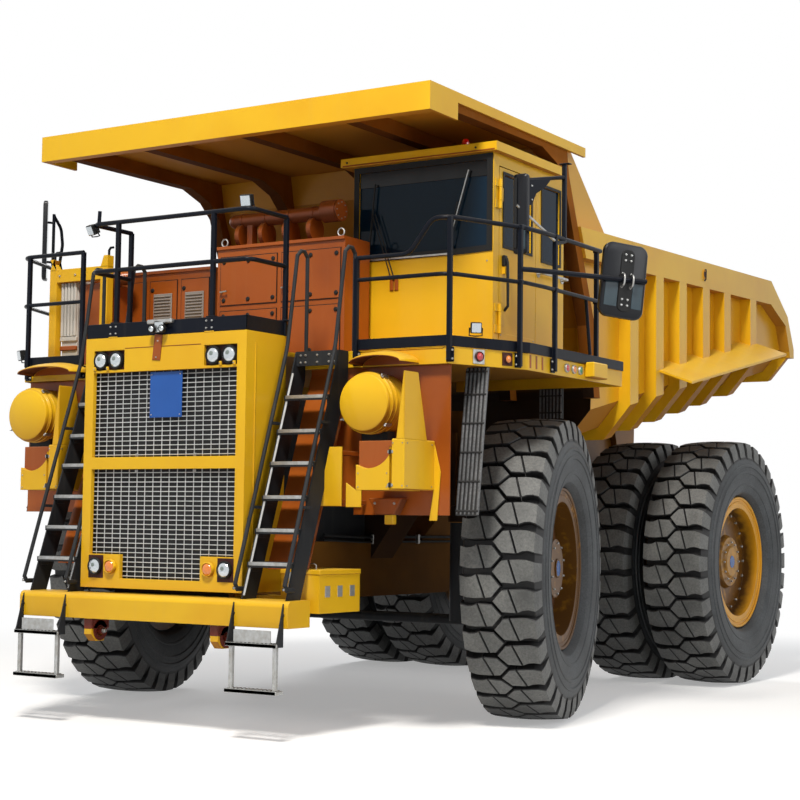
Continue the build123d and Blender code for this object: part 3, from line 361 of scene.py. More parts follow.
def rubber(name, colour, dust, grain=0.35):
    """Vulcanised rubber: dull black, greyed by dust where it rolls."""
    material, tree = new_material(name)
    place = add(tree, "ShaderNodeTexCoord")["Object"]
    grit = add(tree, "ShaderNodeTexNoise", {"Vector": place, "Scale": 1 / 0.02, "Detail": 8.0,
        "Roughness": 0.65})["Fac"]
    cloud = add(tree, "ShaderNodeTexNoise", {"Vector": place, "Scale": 1 / 0.35, "Detail": 4.0})["Fac"]
    mixed = add(tree, "ShaderNodeMath", {0: grit, 1: cloud}, operation="MULTIPLY")[0]
    mixed = add(tree, "ShaderNodeMapRange", {"Value": mixed, "From Min": 0.12, "From Max": 0.42})[0]
    tone = add(tree, "ShaderNodeMix", {0: mixed, 6: rgb(colour), 7: rgb(dust)}, data_type="RGBA")[2]
    bump = add(tree, "ShaderNodeBump", {"Height": grit, "Strength": grain, "Distance": 0.004})[0]
    surface = add(tree, "ShaderNodeBsdfPrincipled", {
        "Base Color": tone, "Roughness": 0.6, "Normal": bump, "IOR": 1.52})[0]
    finish_material(tree, surface)
    return material


tread_rubber = rubber("dusty_tread_rubber", "#454645", "#737472")
groove_rubber = rubber("groove_rubber", "#0E0E0F", "#1D1D1E")
wall_rubber = rubber("sidewall_rubber", "#1D2023", "#43474A", 0.2)

tyre_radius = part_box("front_tyre_left")[1].z / 2
lug_count = 34
lug_pitch = math.tau * tyre_radius / lug_count
tread_half = 0.318
crown_drop = 0.018
groove_depth = 0.072


def lug_top(across):
    """Distance out and radius of the lugs' outer face, along the tread and down the shoulder."""
    if across <= tread_half:
        return across, tyre_radius - crown_drop * (across / tread_half) ** 2
    down = across - tread_half
    return tread_half + 0.25 * min(down, 0.08) + 0.08 * max(0, down - 0.08), \
        tyre_radius - crown_drop - 0.93 * down


def lug_root(across):
    """The same for the groove's floor under it."""
    if across <= tread_half:
        return across * 0.97, tyre_radius - groove_depth - 0.022 * (across / tread_half) ** 2
    down = across - tread_half
    return 0.97 * tread_half + 0.22 * down, tyre_radius - groove_depth - 0.022 - 0.60 * down


def bent_lug(outline):
    """One part of a lug, raised from the groove's floor and bent round the tyre, as two skins."""
    mesh = bmesh.new()
    mesh.faces.new([mesh.verts.new((across, along * lug_pitch, 0)) for across, along in outline])
    cuts = (0.0, 0.1, 0.2, 0.27, tread_half, tread_half + 0.08)
    for across in [side * cut for cut in cuts for side in (1, -1)]:
        bmesh.ops.bisect_plane(mesh, geom=mesh.verts[:] + mesh.edges[:] + mesh.faces[:],
            plane_co=(across, 0, 0), plane_no=(1, 0, 0))
    raised = bmesh.ops.extrude_face_region(mesh, geom=mesh.faces[:])["geom"]
    tops = [item for item in raised if isinstance(item, bmesh.types.BMFace)]
    for vert in {vert for face in tops for vert in face.verts}:
        vert.co.z = 0.9
    bmesh.ops.inset_region(mesh, faces=tops, thickness=0.006, use_even_offset=True)
    for vert in {vert for face in tops for vert in face.verts}:
        vert.co.z = 1.0
    bmesh.ops.recalc_face_normals(mesh, faces=mesh.faces)
    worn = mesh.faces.layers.int.new("worn")
    for face in mesh.faces:
        face[worn] = 1 if face.normal.z > 0.3 else 0
    for vert in mesh.verts:
        side = math.copysign(1, vert.co.x)
        top, root = lug_top(abs(vert.co.x)), lug_root(abs(vert.co.x))
        out = root[0] + (top[0] - root[0]) * vert.co.z
        radius = root[1] + (top[1] - root[1]) * vert.co.z
        angle = vert.co.y / tyre_radius
        vert.co = (side * out, -radius * math.cos(angle), radius * math.sin(angle))
    bmesh.ops.recalc_face_normals(mesh, faces=mesh.faces)
    return mesh


lug_tip = [(-0.040, 0.0), (0.042, -0.385), (0.166, -0.41), (0.098, 0.41), (0.042, 0.385)]
lug_shoulder = [(0.173, -0.41), (0.220, -0.33), (0.265, -0.31), (0.325, -0.37), (0.500, -0.35),
    (0.500, 0.33), (0.325, 0.34), (0.255, 0.42), (0.195, 0.43), (0.150, 0.42), (0.105, 0.41)]


def merged(shells):
    """Several bmeshes as one."""
    whole = bmesh.new()
    for shell in shells:
        data = bpy.data.meshes.new("shell")
        shell.to_mesh(data)
        shell.free()
        whole.from_mesh(data)
        bpy.data.meshes.remove(data)
    return whole


def lug_pair():
    """The two interlocked lugs of one pitch, the second turned half a pitch on."""
    return merged(bent_lug([(turn * across, turn * along + shift) for across, along in outline])
        for turn, shift in ((1, 0.0), (-1, 0.5)) for outline in (lug_tip, lug_shoulder))


def tyre_mesh():
    """Carcass and lugs about the X axis, the outer side towards +X."""
    ring = ring_of(lug_pair(), lug_count, groove_rubber)
    ring.materials.append(tread_rubber)
    worn = ring.attributes["worn"].data
    for face in ring.polygons:
        face.material_index = worn[face.index].value
    half = [(0.16, 1.268), (0.305, 1.250), (0.330, 1.19), (0.344, 1.142), (0.352, 1.125), (0.356, 1.10),
        (0.3575, 1.085), (0.3675, 1.078), (0.3690, 1.060), (0.3600, 1.052), (0.3615, 1.015),
        (0.3695, 1.008), (0.3695, 0.985), (0.3600, 0.978), (0.3560, 0.905), (0.3500, 0.872),
        (0.3550, 0.866), (0.3510, 0.848), (0.3430, 0.842), (0.3350, 0.805), (0.318, 0.775), (0.285, 0.752),
        (0.226, 0.728), (0.226, 0.640)]
    outline = [(1.272, 0.0)] + [(radius, across) for across, radius in half] + \
              [(radius, -across) for across, radius in reversed(half)]
    carcass = turned(outline, 144)
    shell = bpy.data.meshes.new("carcass")
    for face in carcass.faces:
        centre = face.calc_center_median()
        face.smooth = True
        face.material_index = 1 if math.hypot(centre.x, centre.y) > 1.155 else 0
    bmesh.ops.recalc_face_normals(carcass, faces=carcass.faces)
    carcass.to_mesh(shell)
    carcass.free()
    shell.set_sharp_from_angle(angle=math.radians(24))
    shell.materials.append(wall_rubber)
    shell.materials.append(groove_rubber)
    return Gathered().take(shell, place=about_x()).take(ring).plain("tyre")


def wheel_place(joint, inward=0.0):
    """Where a wheel's own frame stands: X along its axle, away from the truck."""
    spin = joints[joint]
    centre, axle = Vector(spin["pos_m"]), Vector(spin["axis"]).normalized()
    if centre.x * axle.x < 0:
        axle.negate()
    turn = Matrix.Rotation(math.atan2(axle.y, axle.x), 4, "Z")
    return at(centre - axle * inward) @ turn


tyre = tyre_mesh()
dual_spacing = 0.870
wheel_sets = [("front_wheel_left", "front_tyre_left", "front_rim_left", (0.0,)),
    ("front_wheel_right", "front_tyre_right", "front_rim_right", (0.0,)),
    ("rear_wheels_left", "rear_tyres_left", "rear_rims_left", (0.0, dual_spacing)),
    ("rear_wheels_right", "rear_tyres_right", "rear_rims_right", (0.0, dual_spacing))]
for body, node, _, inwards in wheel_sets:
    lugged = Gathered()
    for inward in inwards:
        lugged.take(tyre, place=wheel_place(body + "_spin", inward))
    lugged.ride(node + "_lugged", body, "tyre_rubber", node)
bpy.data.meshes.remove(tyre)


# ------------------------------------------------------------------ wheel hardware
# Zinc-plated bolts clamp the rims to their hubs. Each rim has a ring of clamp bolts in its
# dish and a ring round the hub's cover, and two turned steel lock rings beside the tyre.

def bolt(size, high):
    """Hexagon head on a washer, standing on Z = 0."""
    washer = band(0, size * 0.95, high * 0.2, 0, 16)
    nut = turned([(0, high * 0.2), (size * 0.8, high * 0.2), (size * 0.8, high * 0.85),
        (size * 0.65, high), (0, high)], 6)
    return merged((washer, nut))


def plated_steel(name, colour, roughness, metal=1.0):
    """Zinc-plated or bare steel: grey metal with uneven gloss and thin dust."""
    material, tree = new_material(name)
    place = add(tree, "ShaderNodeTexCoord")["Object"]
    wear = add(tree, "ShaderNodeTexNoise", {"Vector": place, "Scale": 1 / 0.04, "Detail": 5.0})["Fac"]
    tone = add(tree, "ShaderNodeMix", {0: wear, 6: rgb(colour), 7: rgb("#8E8A80")}, data_type="RGBA")[2]
    gloss = add(tree, "ShaderNodeMapRange", {"Value": wear, "To Min": roughness,
        "To Max": roughness + 0.25})[0]
    surface = add(tree, "ShaderNodeBsdfPrincipled", {
        "Base Color": tone, "Metallic": metal, "Roughness": gloss})[0]
    finish_material(tree, surface)
    return material


zinc_steel = plated_steel("zinc_plated_steel", "#B9BBBE", 0.28)
galvanised = plated_steel("galvanised_steel", "#C6C9CC", 0.38)
rim_enamels = {}
# The rims' enamel darkens into the dish, nearer the truck's middle: painted shade in the deep dish.
for ends, dish_shade_span in (("front", (2.44, 2.555)), ("rear", (2.27, 2.400))):
    rim_enamels[ends] = sprayed_enamel(ends + "_rim_enamel", "#E3A31E", "#C5851B", dust="#7A5A34",
        dusty=0.45, roughness=0.38, dish_shade_span=dish_shade_span)
# Dark brown enamel for the painted shade in the wheels' dishes.
dish_shade_paint = sprayed_enamel("dark_dish_shade_enamel", "#5A3615", "#472A12", dust="#6B5236",
    dusty=0.5, roughness=0.6, coat=0.0)
hub_blue = sprayed_enamel("blue_hub_cap_enamel", "#2E5FA3", "#285593", dusty=0.1, roughness=0.25)
for body, _, rim, inwards in wheel_sets:
    rim_enamel = rim_enamels[body[:body.index("_")]]
    coated(rim, rim_enamel)
    place = wheel_place(body + "_spin")
    hardware = Gathered()
    twin = len(inwards) == 2
    hub_face = 0.162 if twin else 0.200
    rings = [(0.535, 0.083, 20, 0.020), (0.215, hub_face, 12, 0.013)] if twin else \
            [(0.320, 0.064, 16, 0.017), (0.225, hub_face, 10, 0.013)]
    for radius, out, count, size in rings:
        single = bolt(size, size * 1.3)
        single.transform(about_x((out, 0, radius)))
        hardware.take(ring_of(single, count, zinc_steel), place=place)
    inner, outer, dish = (0.32, 0.500, 0.083) if twin else (0.268, 0.585, 0.062)
    # A dark ring laid over the dish is painted shade in the deep dish.
    dish_shadow_ring = band(inner, outer, dish + 0.002, dish - 0.002, 72)
    hardware.take(dish_shadow_ring, dish_shade_paint, place @ about_x(), True)
    for inner, outer, shoulder, top, chamfer in ((0.694, 0.724, 0.256, 0.263, 0.007),
            (0.652, 0.672, 0.250, 0.255, 0.006)):
        profile = [(inner, 0.240), (outer, 0.240), (outer, shoulder), (outer - chamfer, top),
                   (inner + chamfer, top), (inner, shoulder)]
        hardware.take(turned(profile, 96), rim_enamel, place @ about_x(), True)
    cap = [(0.0, 0.0), (0.072, 0.0), (0.072, 0.010), (0.064, 0.018), (0.0, 0.020)]
    hardware.take(turned(cap, 40), hub_blue, place @ about_x((hub_face, 0, 0)), True)
    cap = [(0.072, 0.0), (0.086, 0.0), (0.086, 0.012), (0.078, 0.016), (0.072, 0.012)]
    hardware.take(turned(cap, 40), rim_enamel, place @ about_x((hub_face, 0, 0)), True)
    hardware.ride(rim + "_hardware", body, "yellow_paint")


# ------------------------------------------------------------------ radiator front
# The guard over the radiator is a mesh of drawn steel rods, spot-welded, painted light grey
# and held by spring clamps. A bare enamelled plate hangs in front of it on four bolts.

def block(low, high, bevel=0.004):
    """A plate or box with eased edges between two opposite corners."""
    mesh = bmesh.new()
    bmesh.ops.create_cube(mesh, size=1.0)
    low, high = Vector([*map(min, low, high)]), Vector([*map(max, low, high)])
    for vert in mesh.verts:
        vert.co = low + (vert.co + Vector((0.5, 0.5, 0.5))) * (high - low)
    if bevel:
        bmesh.ops.bevel(mesh, geom=mesh.edges[:], offset=bevel, segments=1, affect="EDGES")
    return mesh


def skinned(mesh, rings, capped=True):
    """Joins rings of vertices into a skin, closed at its ends when capped."""
    for low, high in zip(rings, rings[1:]):
        for step in range(len(low)):
            mesh.faces.new((low[step - 1], low[step], high[step], high[step - 1]))
    if capped:
        mesh.faces.new(rings[0])
        mesh.faces.new(rings[-1])
    bmesh.ops.recalc_face_normals(mesh, faces=mesh.faces)
    return mesh


def pipe(points, radius, sides=10, flat=1.0):
    """A bar of round or flattened section along a line of points, closed at its ends."""
    points = [Vector(point) for point in points]
    mesh = bmesh.new()
    rings = []
    first = (points[1] - points[0]).normalized()
    out = first.cross(Vector((0, 0, 1)) if abs(first.z) < 0.9 else Vector((1, 0, 0)))
    for here, point in enumerate(points):
        before = (point - points[here - 1]).normalized() if here else first
        after = (points[here + 1] - point).normalized() if here + 1 < len(points) else before
        along = (before + after).normalized()
        out = (out - along * out.dot(along)).normalized()
        over = along.cross(out)
        turns = [math.tau * step / sides for step in range(sides)]
        rings.append([mesh.verts.new(point + radius * (out * math.cos(turn) + over * math.sin(turn) * flat))
                      for turn in turns])
    return skinned(mesh, rings)


def row_tree():
    """Copies of a mesh in a straight row."""
    tree, entry = new_tree("row_copies", Copies="Int", Step="Vector", Material="Material")
    spots = add(tree, "GeometryNodeMeshLine", {"Count": entry["Copies"], "Offset": entry["Step"]})["Mesh"]
    copies = add(tree, "GeometryNodeInstanceOnPoints", {"Points": spots, "Instance": entry["Geometry"]})[0]
    return end_tree(tree, entry, copies)


row_copies = row_tree()


def row_of(shell, count, step, finish):
    """A bmesh copied in a row."""
    return copied(row_copies, shell, Copies=count, Step=step, Material=finish)


def bolt_tree():
    """A hexagon head with a chamfer, on a washer, at every point."""
    tree, entry = new_tree("bolt_heads", Size="Float", Facing="Vector", Material="Material")
    join = add(tree, "GeometryNodeJoinGeometry")[0]
    for sides, wide, top, low, high in ((16, 0.95, 0.95, 0.0, 0.24), (6, 0.80, 0.80, 0.24, 1.0),
            (6, 0.80, 0.62, 1.0, 1.2)):
        part = add(tree, "GeometryNodeMeshCone", {"Vertices": sides, "Radius Bottom": wide,
            "Radius Top": top, "Depth": high - low})["Mesh"]
        part = add(tree, "GeometryNodeTransform", {"Geometry": part, "Translation": (0, 0, low)})[0]
        tree.links.new(part, join.node.inputs[0])
    way = add(tree, "FunctionNodeAlignRotationToVector", {"Vector": entry["Facing"]}, axis="Z")[0]
    heads = add(tree, "GeometryNodeInstanceOnPoints", {
        "Points": entry["Geometry"], "Instance": join, "Rotation": way, "Scale": entry["Size"]})[0]
    return end_tree(tree, entry, heads)


bolt_heads = bolt_tree()


def bolts(piece, places, size=0.014, facing=(0, -1, 0), finish=zinc_steel, turn=None):
    """Bolts at their places, on a face that looks the way of facing."""
    spots = bpy.data.meshes.new("bolt_places")
    spots.from_pydata([tuple(place) for place in places], [], [])
    piece.take(baked(bolt_heads, spots, Size=size, Facing=tuple(float(part) for part in facing),
        Material=finish), place=turn)


grille_low, grille_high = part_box("grille")
guard_grey = sprayed_enamel("silver_grey_enamel", "#DCDEDF", "#AEB1B3", dusty=0.15, roughness=0.35)
rod_pitch, upright_pitch, rod_size = 0.040, 0.088, 0.0040
lower_band, upper_band = (1.236, 2.165), (2.268, 2.999)
guard = Gathered()
for low, high in (lower_band, upper_band):
    rows = int((high - low) / rod_pitch)
    level = pipe([(grille_low.x, grille_low.y + 0.004, low + rod_pitch / 2),
        (grille_high.x, grille_low.y + 0.004, low + rod_pitch / 2)], rod_size, 6)
    guard.take(row_of(level, rows, (0, 0, rod_pitch), guard_grey))
    columns = int((grille_high.x - grille_low.x) / upright_pitch) + 1
    upright = pipe([(-upright_pitch * (columns - 1) / 2, grille_high.y - 0.004, low),
        (-upright_pitch * (columns - 1) / 2, grille_high.y - 0.004, high)], rod_size, 6)
    guard.take(row_of(upright, columns, (upright_pitch, 0, 0), guard_grey))
for x in (-0.30, 0.33):
    for z in (2.285, 2.148):
        guard.take(block((x - 0.016, grille_low.y - 0.012, z - 0.014),
            (x + 0.016, grille_low.y - 0.002, z + 0.014)), zinc_steel)
        bolts(guard, [(x, grille_low.y - 0.012, z)], 0.008)
guard.ride("radiator_guard", "chassis", "grey_paint", "grille")

plate_blue = sprayed_enamel("blue_vitreous_enamel", "#1F57A8", "#1B4F9C", dusty=0.08, roughness=0.2)
front_plate = Gathered()
plate_front = grille_low.y - 0.014
front_plate.take(block((-0.165, plate_front, 2.600), (0.185, grille_low.y - 0.006, 2.990), 0.003),
    plate_blue)
bolts(front_plate, [(x, plate_front, z) for x in (-0.145, 0.165) for z in (2.625, 2.965)], 0.006)
front_plate.ride("bare_front_plate", "chassis", "grey_paint")


def finned(name, colour, pitch):
    """Black-coated copper fins, seen as fine upright lines of this pitch."""
    material, tree = new_material(name)
    place = add(tree, "ShaderNodeTexCoord")["Object"]
    lines = add(tree, "ShaderNodeTexWave", {"Vector": place, "Scale": math.tau / pitch / 20,
        "Distortion": 0.0})["Fac"]
    tone = add(tree, "ShaderNodeMix", {0: lines, 6: rgb(colour), 7: rgb("#101112")}, data_type="RGBA")[2]
    bump = add(tree, "ShaderNodeBump", {"Height": lines, "Strength": 0.4, "Distance": 0.004})[0]
    finish_material(tree, add(tree, "ShaderNodeBsdfPrincipled", {
        "Base Color": tone, "Roughness": 0.7, "Normal": bump})[0])
    return material


coated("radiator_core", finned("black_radiator_fins", "#030303", 0.012))


# ------------------------------------------------------------------ lamps
# Sealed-beam lamps: a pressed and chromed reflector behind a moulded glass lens in a black
# rubber bezel. Marker lamps are moulded from coloured acrylic on zinc-plated bases.

def moulded(name, colour, roughness=0.45, grain=0.0):
    """Moulded rubber or plastic: an even colour, a soft gloss and a fine grain."""
    material, tree = new_material(name)
    place = add(tree, "ShaderNodeTexCoord")["Object"]
    skin = add(tree, "ShaderNodeTexNoise", {"Vector": place, "Scale": 1 / 0.006, "Detail": 3.0})["Fac"]
    worn = add(tree, "ShaderNodeTexNoise", {"Vector": place, "Scale": 1 / 0.2, "Detail": 4.0})["Fac"]
    gloss = add(tree, "ShaderNodeMapRange", {"Value": worn, "To Min": roughness - 0.05,
        "To Max": roughness + 0.2})[0]
    bump = add(tree, "ShaderNodeBump", {"Height": skin, "Strength": grain, "Distance": 0.001})[0]
    finish_material(tree, add(tree, "ShaderNodeBsdfPrincipled", {
        "Base Color": rgb(colour), "Roughness": gloss, "Normal": bump, "Specular IOR Level": 0.3})[0])
    return material


def lens(name, colour, glow=0.0, metal=0.0):
    """Moulded lens with pressed flutes that break up the light."""
    material, tree = new_material(name)
    place = add(tree, "ShaderNodeTexCoord")["Object"]
    flutes = add(tree, "ShaderNodeTexVoronoi", {"Vector": place, "Scale": 1 / 0.022})["Distance"]
    bump = add(tree, "ShaderNodeBump", {"Height": flutes, "Strength": 0.5, "Distance": 0.004})[0]
    finish_material(tree, add(tree, "ShaderNodeBsdfPrincipled", {
        "Base Color": rgb(colour), "Roughness": 0.12, "Metallic": metal, "Normal": bump,
        "Coat Weight": 1.0, "Coat Roughness": 0.03, "Emission Color": rgb(colour),
        "Emission Strength": glow})[0])
    return material


seal_rubber = moulded("extruded_seal_rubber", "#0C0D0E", 0.5, 0.2)
clear_lens = lens("clear_beam_lens", "#BFC6CA", 0.06, 0.75)
bulb_shade = moulded("grey_bulb_shade", "#7B8784", 0.2)
amber_lens = lens("amber_acrylic", "#D9780A", 0.1)
red_lens = lens("red_acrylic", "#B3120E", 0.12)
green_lens = lens("green_acrylic", "#0E6B3C", 0.12)
# Dark red for the marker lamps' bezels and bases, and painted shade at the backs of the lamp pockets and in the
# body's lifting eyes.
dark_red_bezel_and_recess_shade = sprayed_enamel("dark_red_bezel_paint_and_recess_shade", "#3A120D", "#2C0E0A", dusty=0.1, roughness=0.6, coat=0.0)


def round_lamp(piece, place, radius, glass, facing=(0, -1, 0), bezel=None, deep=0.03):
    """A lamp in its bezel, its back on a face that looks the way of facing."""
    turn = at(place, facing)
    ring = [(radius * 0.86, 0.0), (radius * 1.06, 0.0), (radius * 1.06, deep * 0.75), (radius * 0.98, deep),
            (radius * 0.90, deep), (radius * 0.86, deep * 0.7)]
    piece.take(turned(ring, 36), bezel or seal_rubber, turn, True)
    dome = [(0.0, 0.0), (radius * 0.88, 0.0), (radius * 0.88, deep * 0.72), (radius * 0.74, deep * 1.05),
            (radius * 0.48, deep * 1.28), (radius * 0.2, deep * 1.38), (0.0, deep * 1.4)]
    piece.take(turned(dome, 36), glass, turn, True)
    if glass is clear_lens:
        shade = [(0.0, deep * 1.2), (radius * 0.30, deep * 1.2), (radius * 0.26, deep * 1.38),
                 (radius * 0.16, deep * 1.44), (0.0, deep * 1.46)]
        piece.take(turned(shade, 24), bulb_shade, turn @ at((0, radius * 0.16, 0)), True)


shell_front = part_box("radiator_shell")[0].y
pocket_back = shell_front + 0.028
head_lamps = Gathered()
for side in (-1, 1):
    for x, radius, glass, bezel in ((0.53, 0.058, amber_lens, yellow), (0.70, 0.070, clear_lens, None)):
        round_lamp(head_lamps, (side * x, pocket_back - 0.002, 3.105), 0.073, clear_lens, deep=0.042)
        round_lamp(head_lamps, (side * x, shell_front - 0.004, 1.335), radius, glass, bezel=bezel)
    # The dark plates behind the lamps are painted shade in their pockets.
    head_lamps.take(block((side * 0.437, pocket_back - 0.003, 3.022),
        (side * 0.777, pocket_back + 0.001, 3.188), 0.001), dark_red_bezel_and_recess_shade)
    head_lamps.take(block((side * 0.618, shell_front - 0.003, 1.235),
        (side * 0.784, shell_front + 0.002, 1.43), 0.001), dark_red_bezel_and_recess_shade)
    for x in (0.615, 0.758):
        head_lamps.take(block((side * x - 0.012, shell_front - 0.02, 3.012),
            (side * x + 0.012, shell_front, 3.05)), yellow)
        bolts(head_lamps, [(side * x, shell_front - 0.02, 3.032)], 0.006)
deck_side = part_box("decks")[1].x
marker_z = 3.105
clipped = Vector((0.934, -0.357, 0.0))  # the way the decks' clipped front corners face
for side in (-1, 1):
    out = Vector((side * clipped.x, clipped.y, 0))
    for x, y, glass, size in ((2.455, -3.665, red_lens, 0.040), (2.565, -3.375, amber_lens, 0.036)):
        spot = Vector((side * x, y, marker_z)) + out * 0.008
        turn = at(spot, out)
        head_lamps.take(block((-size * 1.5, -size * 1.5, -0.008), (size * 1.5, size * 1.5, 0.002), 0.002),
            galvanised if glass is red_lens else dark_red_bezel_and_recess_shade, turn)
        round_lamp(head_lamps, spot, size, glass, out, deep=0.02, bezel=dark_red_bezel_and_recess_shade)
    for y, glass in ((-2.445, red_lens), (-2.305, amber_lens), (-2.175, green_lens)):
        round_lamp(head_lamps, (side * (deck_side + 0.002), y, marker_z), 0.036, glass, (side, 0, 0),
                   deep=0.02, bezel=galvanised)
beacon = at((1.88, -2.905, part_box("cab_roof")[1].z))
head_lamps.take(turned([(0, 0), (0.045, 0), (0.045, 0.02), (0.038, 0.024), (0, 0.024)], 24), seal_rubber,
    beacon)
head_lamps.take(turned([(0, 0.024), (0.034, 0.024), (0.034, 0.055), (0.024, 0.074), (0, 0.077)], 24),
    red_lens, beacon, True)
head_lamps.ride("lamps_glazed", "chassis", "lamp_lens", "lamps")

work_lamps = Gathered()


def work_lamp(place, facing, size=0.055):
    """A square LED floodlight: finned cast body, bezel and lens on a bent bracket."""
    turn = at(place, facing)
    work_lamps.take(block((-size, -size, -0.03), (size, size, 0.022), 0.006), seal_rubber, turn)
    fin = block((-size * 0.9, -size * 0.92, -0.05), (-size * 0.9 + 0.006, size * 0.92, -0.029), 0.0)
    work_lamps.take(row_of(fin, 8, (size * 0.245, 0, 0), seal_rubber), place=turn)
    work_lamps.take(block((-size * 0.84, -size * 0.84, 0.02), (size * 0.84, size * 0.84, 0.026), 0.002),
        clear_lens, turn)
    work_lamps.take(pipe([(-size - 0.008, 0, -0.01), (-size - 0.008, -size - 0.02, -0.02),
        (0, -size - 0.025, -0.03), (size + 0.008, -size - 0.02, -0.02), (size + 0.008, 0, -0.01)], 0.006,
        6), steel_black, turn)


# ------------------------------------------------------------------ bumper, steps, ladders
# Ladder treads are folded from chequer plate, their edges worn bright, and the hanging steps
# are galvanised. Landing plates and rail clips are bolted on.

def slope_y(z):
    """Where the stringers' front edge stands at height z."""
    foot_y, foot_z, lean = -4.805, 1.110, 0.3388
    return foot_y + lean * (z - foot_z)


ladder_trim = Gathered()
for side in (-1, 1):
    inner, outer = sorted((side * 0.944, side * 1.366))
    for z in (1.405, 1.675, 1.945, 2.225, 2.495, 2.785):
        front = slope_y(z) - 0.025
        ladder_trim.take(block((inner, front - 0.003, z - 0.026), (outer, front + 0.030, z + 0.003),
            0.002), galvanised)
        tooth = block((inner + 0.012, front + 0.045, z), (inner + 0.030, front + 0.150, z + 0.006), 0.002)
        ladder_trim.take(row_of(tooth, 11, (0.0375, 0, 0), steel_black))
        for x in (inner + 0.012, outer - 0.012):
            ladder_trim.take(block((x - 0.004, front + 0.02, z - 0.075),
                (x + 0.004, front + 0.12, z - 0.008)), steel_black)
    edge = [(side * 0.947, slope_y(z) + 0.004, z) for z in (1.14, 2.98)]
    ladder_trim.take(pipe(edge, 0.011, 4), galvanised)
    bolts(ladder_trim, [(side * x, slope_y(3.17), z) for x in (0.985, 1.035, 1.155, 1.275, 1.325)
        for z in (3.075, 3.135)], 0.011)
    for z in (1.2, 1.85, 2.55):
        for x in (0.910, 1.400):
            bolts(ladder_trim, [(side * x, slope_y(z) - 0.092, z)], 0.010)
    for x in (0.935, 1.365):
        ladder_trim.take(block((side * x - 0.018, -4.938, 0.408), (side * x + 0.018, -4.902, 0.748)),
            galvanised)
    foot = sorted((side * 0.897, side * 1.403))
    ladder_trim.take(block((foot[0], -4.965, 0.382), (foot[1], -4.862, 0.413)), galvanised)
    for z, finish in ((0.413, galvanised), (0.775, steel_black)):
        grip = block((foot[0] + 0.016, -4.952, z), (foot[0] + 0.036, -4.878, z + 0.007), 0.002)
        ladder_trim.take(row_of(grip, 12, (0.041, 0, 0), finish))
    ladder_trim.take(block((foot[0], -4.965, 0.748), (foot[1], -4.945, 0.777), 0.003), galvanised)
    ladder_trim.take(block((foot[0] + 0.070, -4.945, 0.770), (foot[1] - 0.070, -4.935, 0.880), 0.003),
        galvanised)
    bolts(ladder_trim, [(side * x, -4.866, 1.0) for x in (0.906, 1.394)], finish=steel_black)
ladder_trim.ride("ladder_trim", "chassis", "dark_steel")

tow_paint = sprayed_enamel("oxide_red_enamel", "#6B2414", "#571B0F", dusty=0.3, roughness=0.5, coat=0.1)
tow_gear = Gathered()
for side in (-1, 1):
    near, far = sorted((side * 0.634, side * 0.726))
    eye = at((near, -4.715, 0.79)) @ spun(90, "Y")
    tow_gear.take(band(0.046, 0.086, far - near, 0, 32), tow_paint, eye, True)
    tow_gear.take(pipe([(near - 0.03, -4.715, 0.79), (far + 0.03, -4.715, 0.79)], 0.032, 16), tow_paint)
    for x, way in ((near - 0.03, -1), (far + 0.03, 1)):
        bolts(tow_gear, [(x, -4.715, 0.79)], 0.024, (way, 0, 0))
    tow_gear.take(block((near, -4.83, 0.80), (far, -4.60, 0.895), 0.01), tow_paint)
tow_gear.ride("tow_eye_pins", "chassis", "dark_steel")

front_trim = Gathered()
stay = at((-0.068, shell_front, 3.19)) @ spun(6, "Y")
front_trim.take(block((-0.044, -0.007, -0.105), (0.044, -0.001, 0.115), 0.002), orange, stay)
bolts(front_trim, [(0.0, -0.007, z) for z in (-0.08, 0.06)], 0.008, turn=stay)
front_trim.take(block((-0.43, shell_front - 0.003, 3.200), (0.40, shell_front + 0.001, 3.206), 0.001),
    orange)
for x in (-0.57, 0.48):
    front_trim.take(block((x - 0.05, shell_front - 0.003, 3.298), (x + 0.05, shell_front + 0.035, 3.308),
        0.002), yellow)
for side in (-1, 1):
    front_trim.take(block((side * 0.8742, -4.60, 1.25), (side * 0.8800, -4.585, 3.2), 0.001), yellow)


def slab(corners, through, bevel=0.002):
    """A flat plate with these corners, as thick as the vector through it."""
    mesh = bmesh.new()
    face = mesh.faces.new([mesh.verts.new(corner) for corner in corners])
    raised = bmesh.ops.extrude_face_region(mesh, geom=[face])["geom"]
    bmesh.ops.translate(mesh, verts=[v for v in raised if isinstance(v, bmesh.types.BMVert)], vec=through)
    bmesh.ops.recalc_face_normals(mesh, faces=mesh.faces)
    bmesh.ops.bevel(mesh, geom=mesh.edges[:], offset=bevel, segments=1, affect="EDGES")
    return mesh


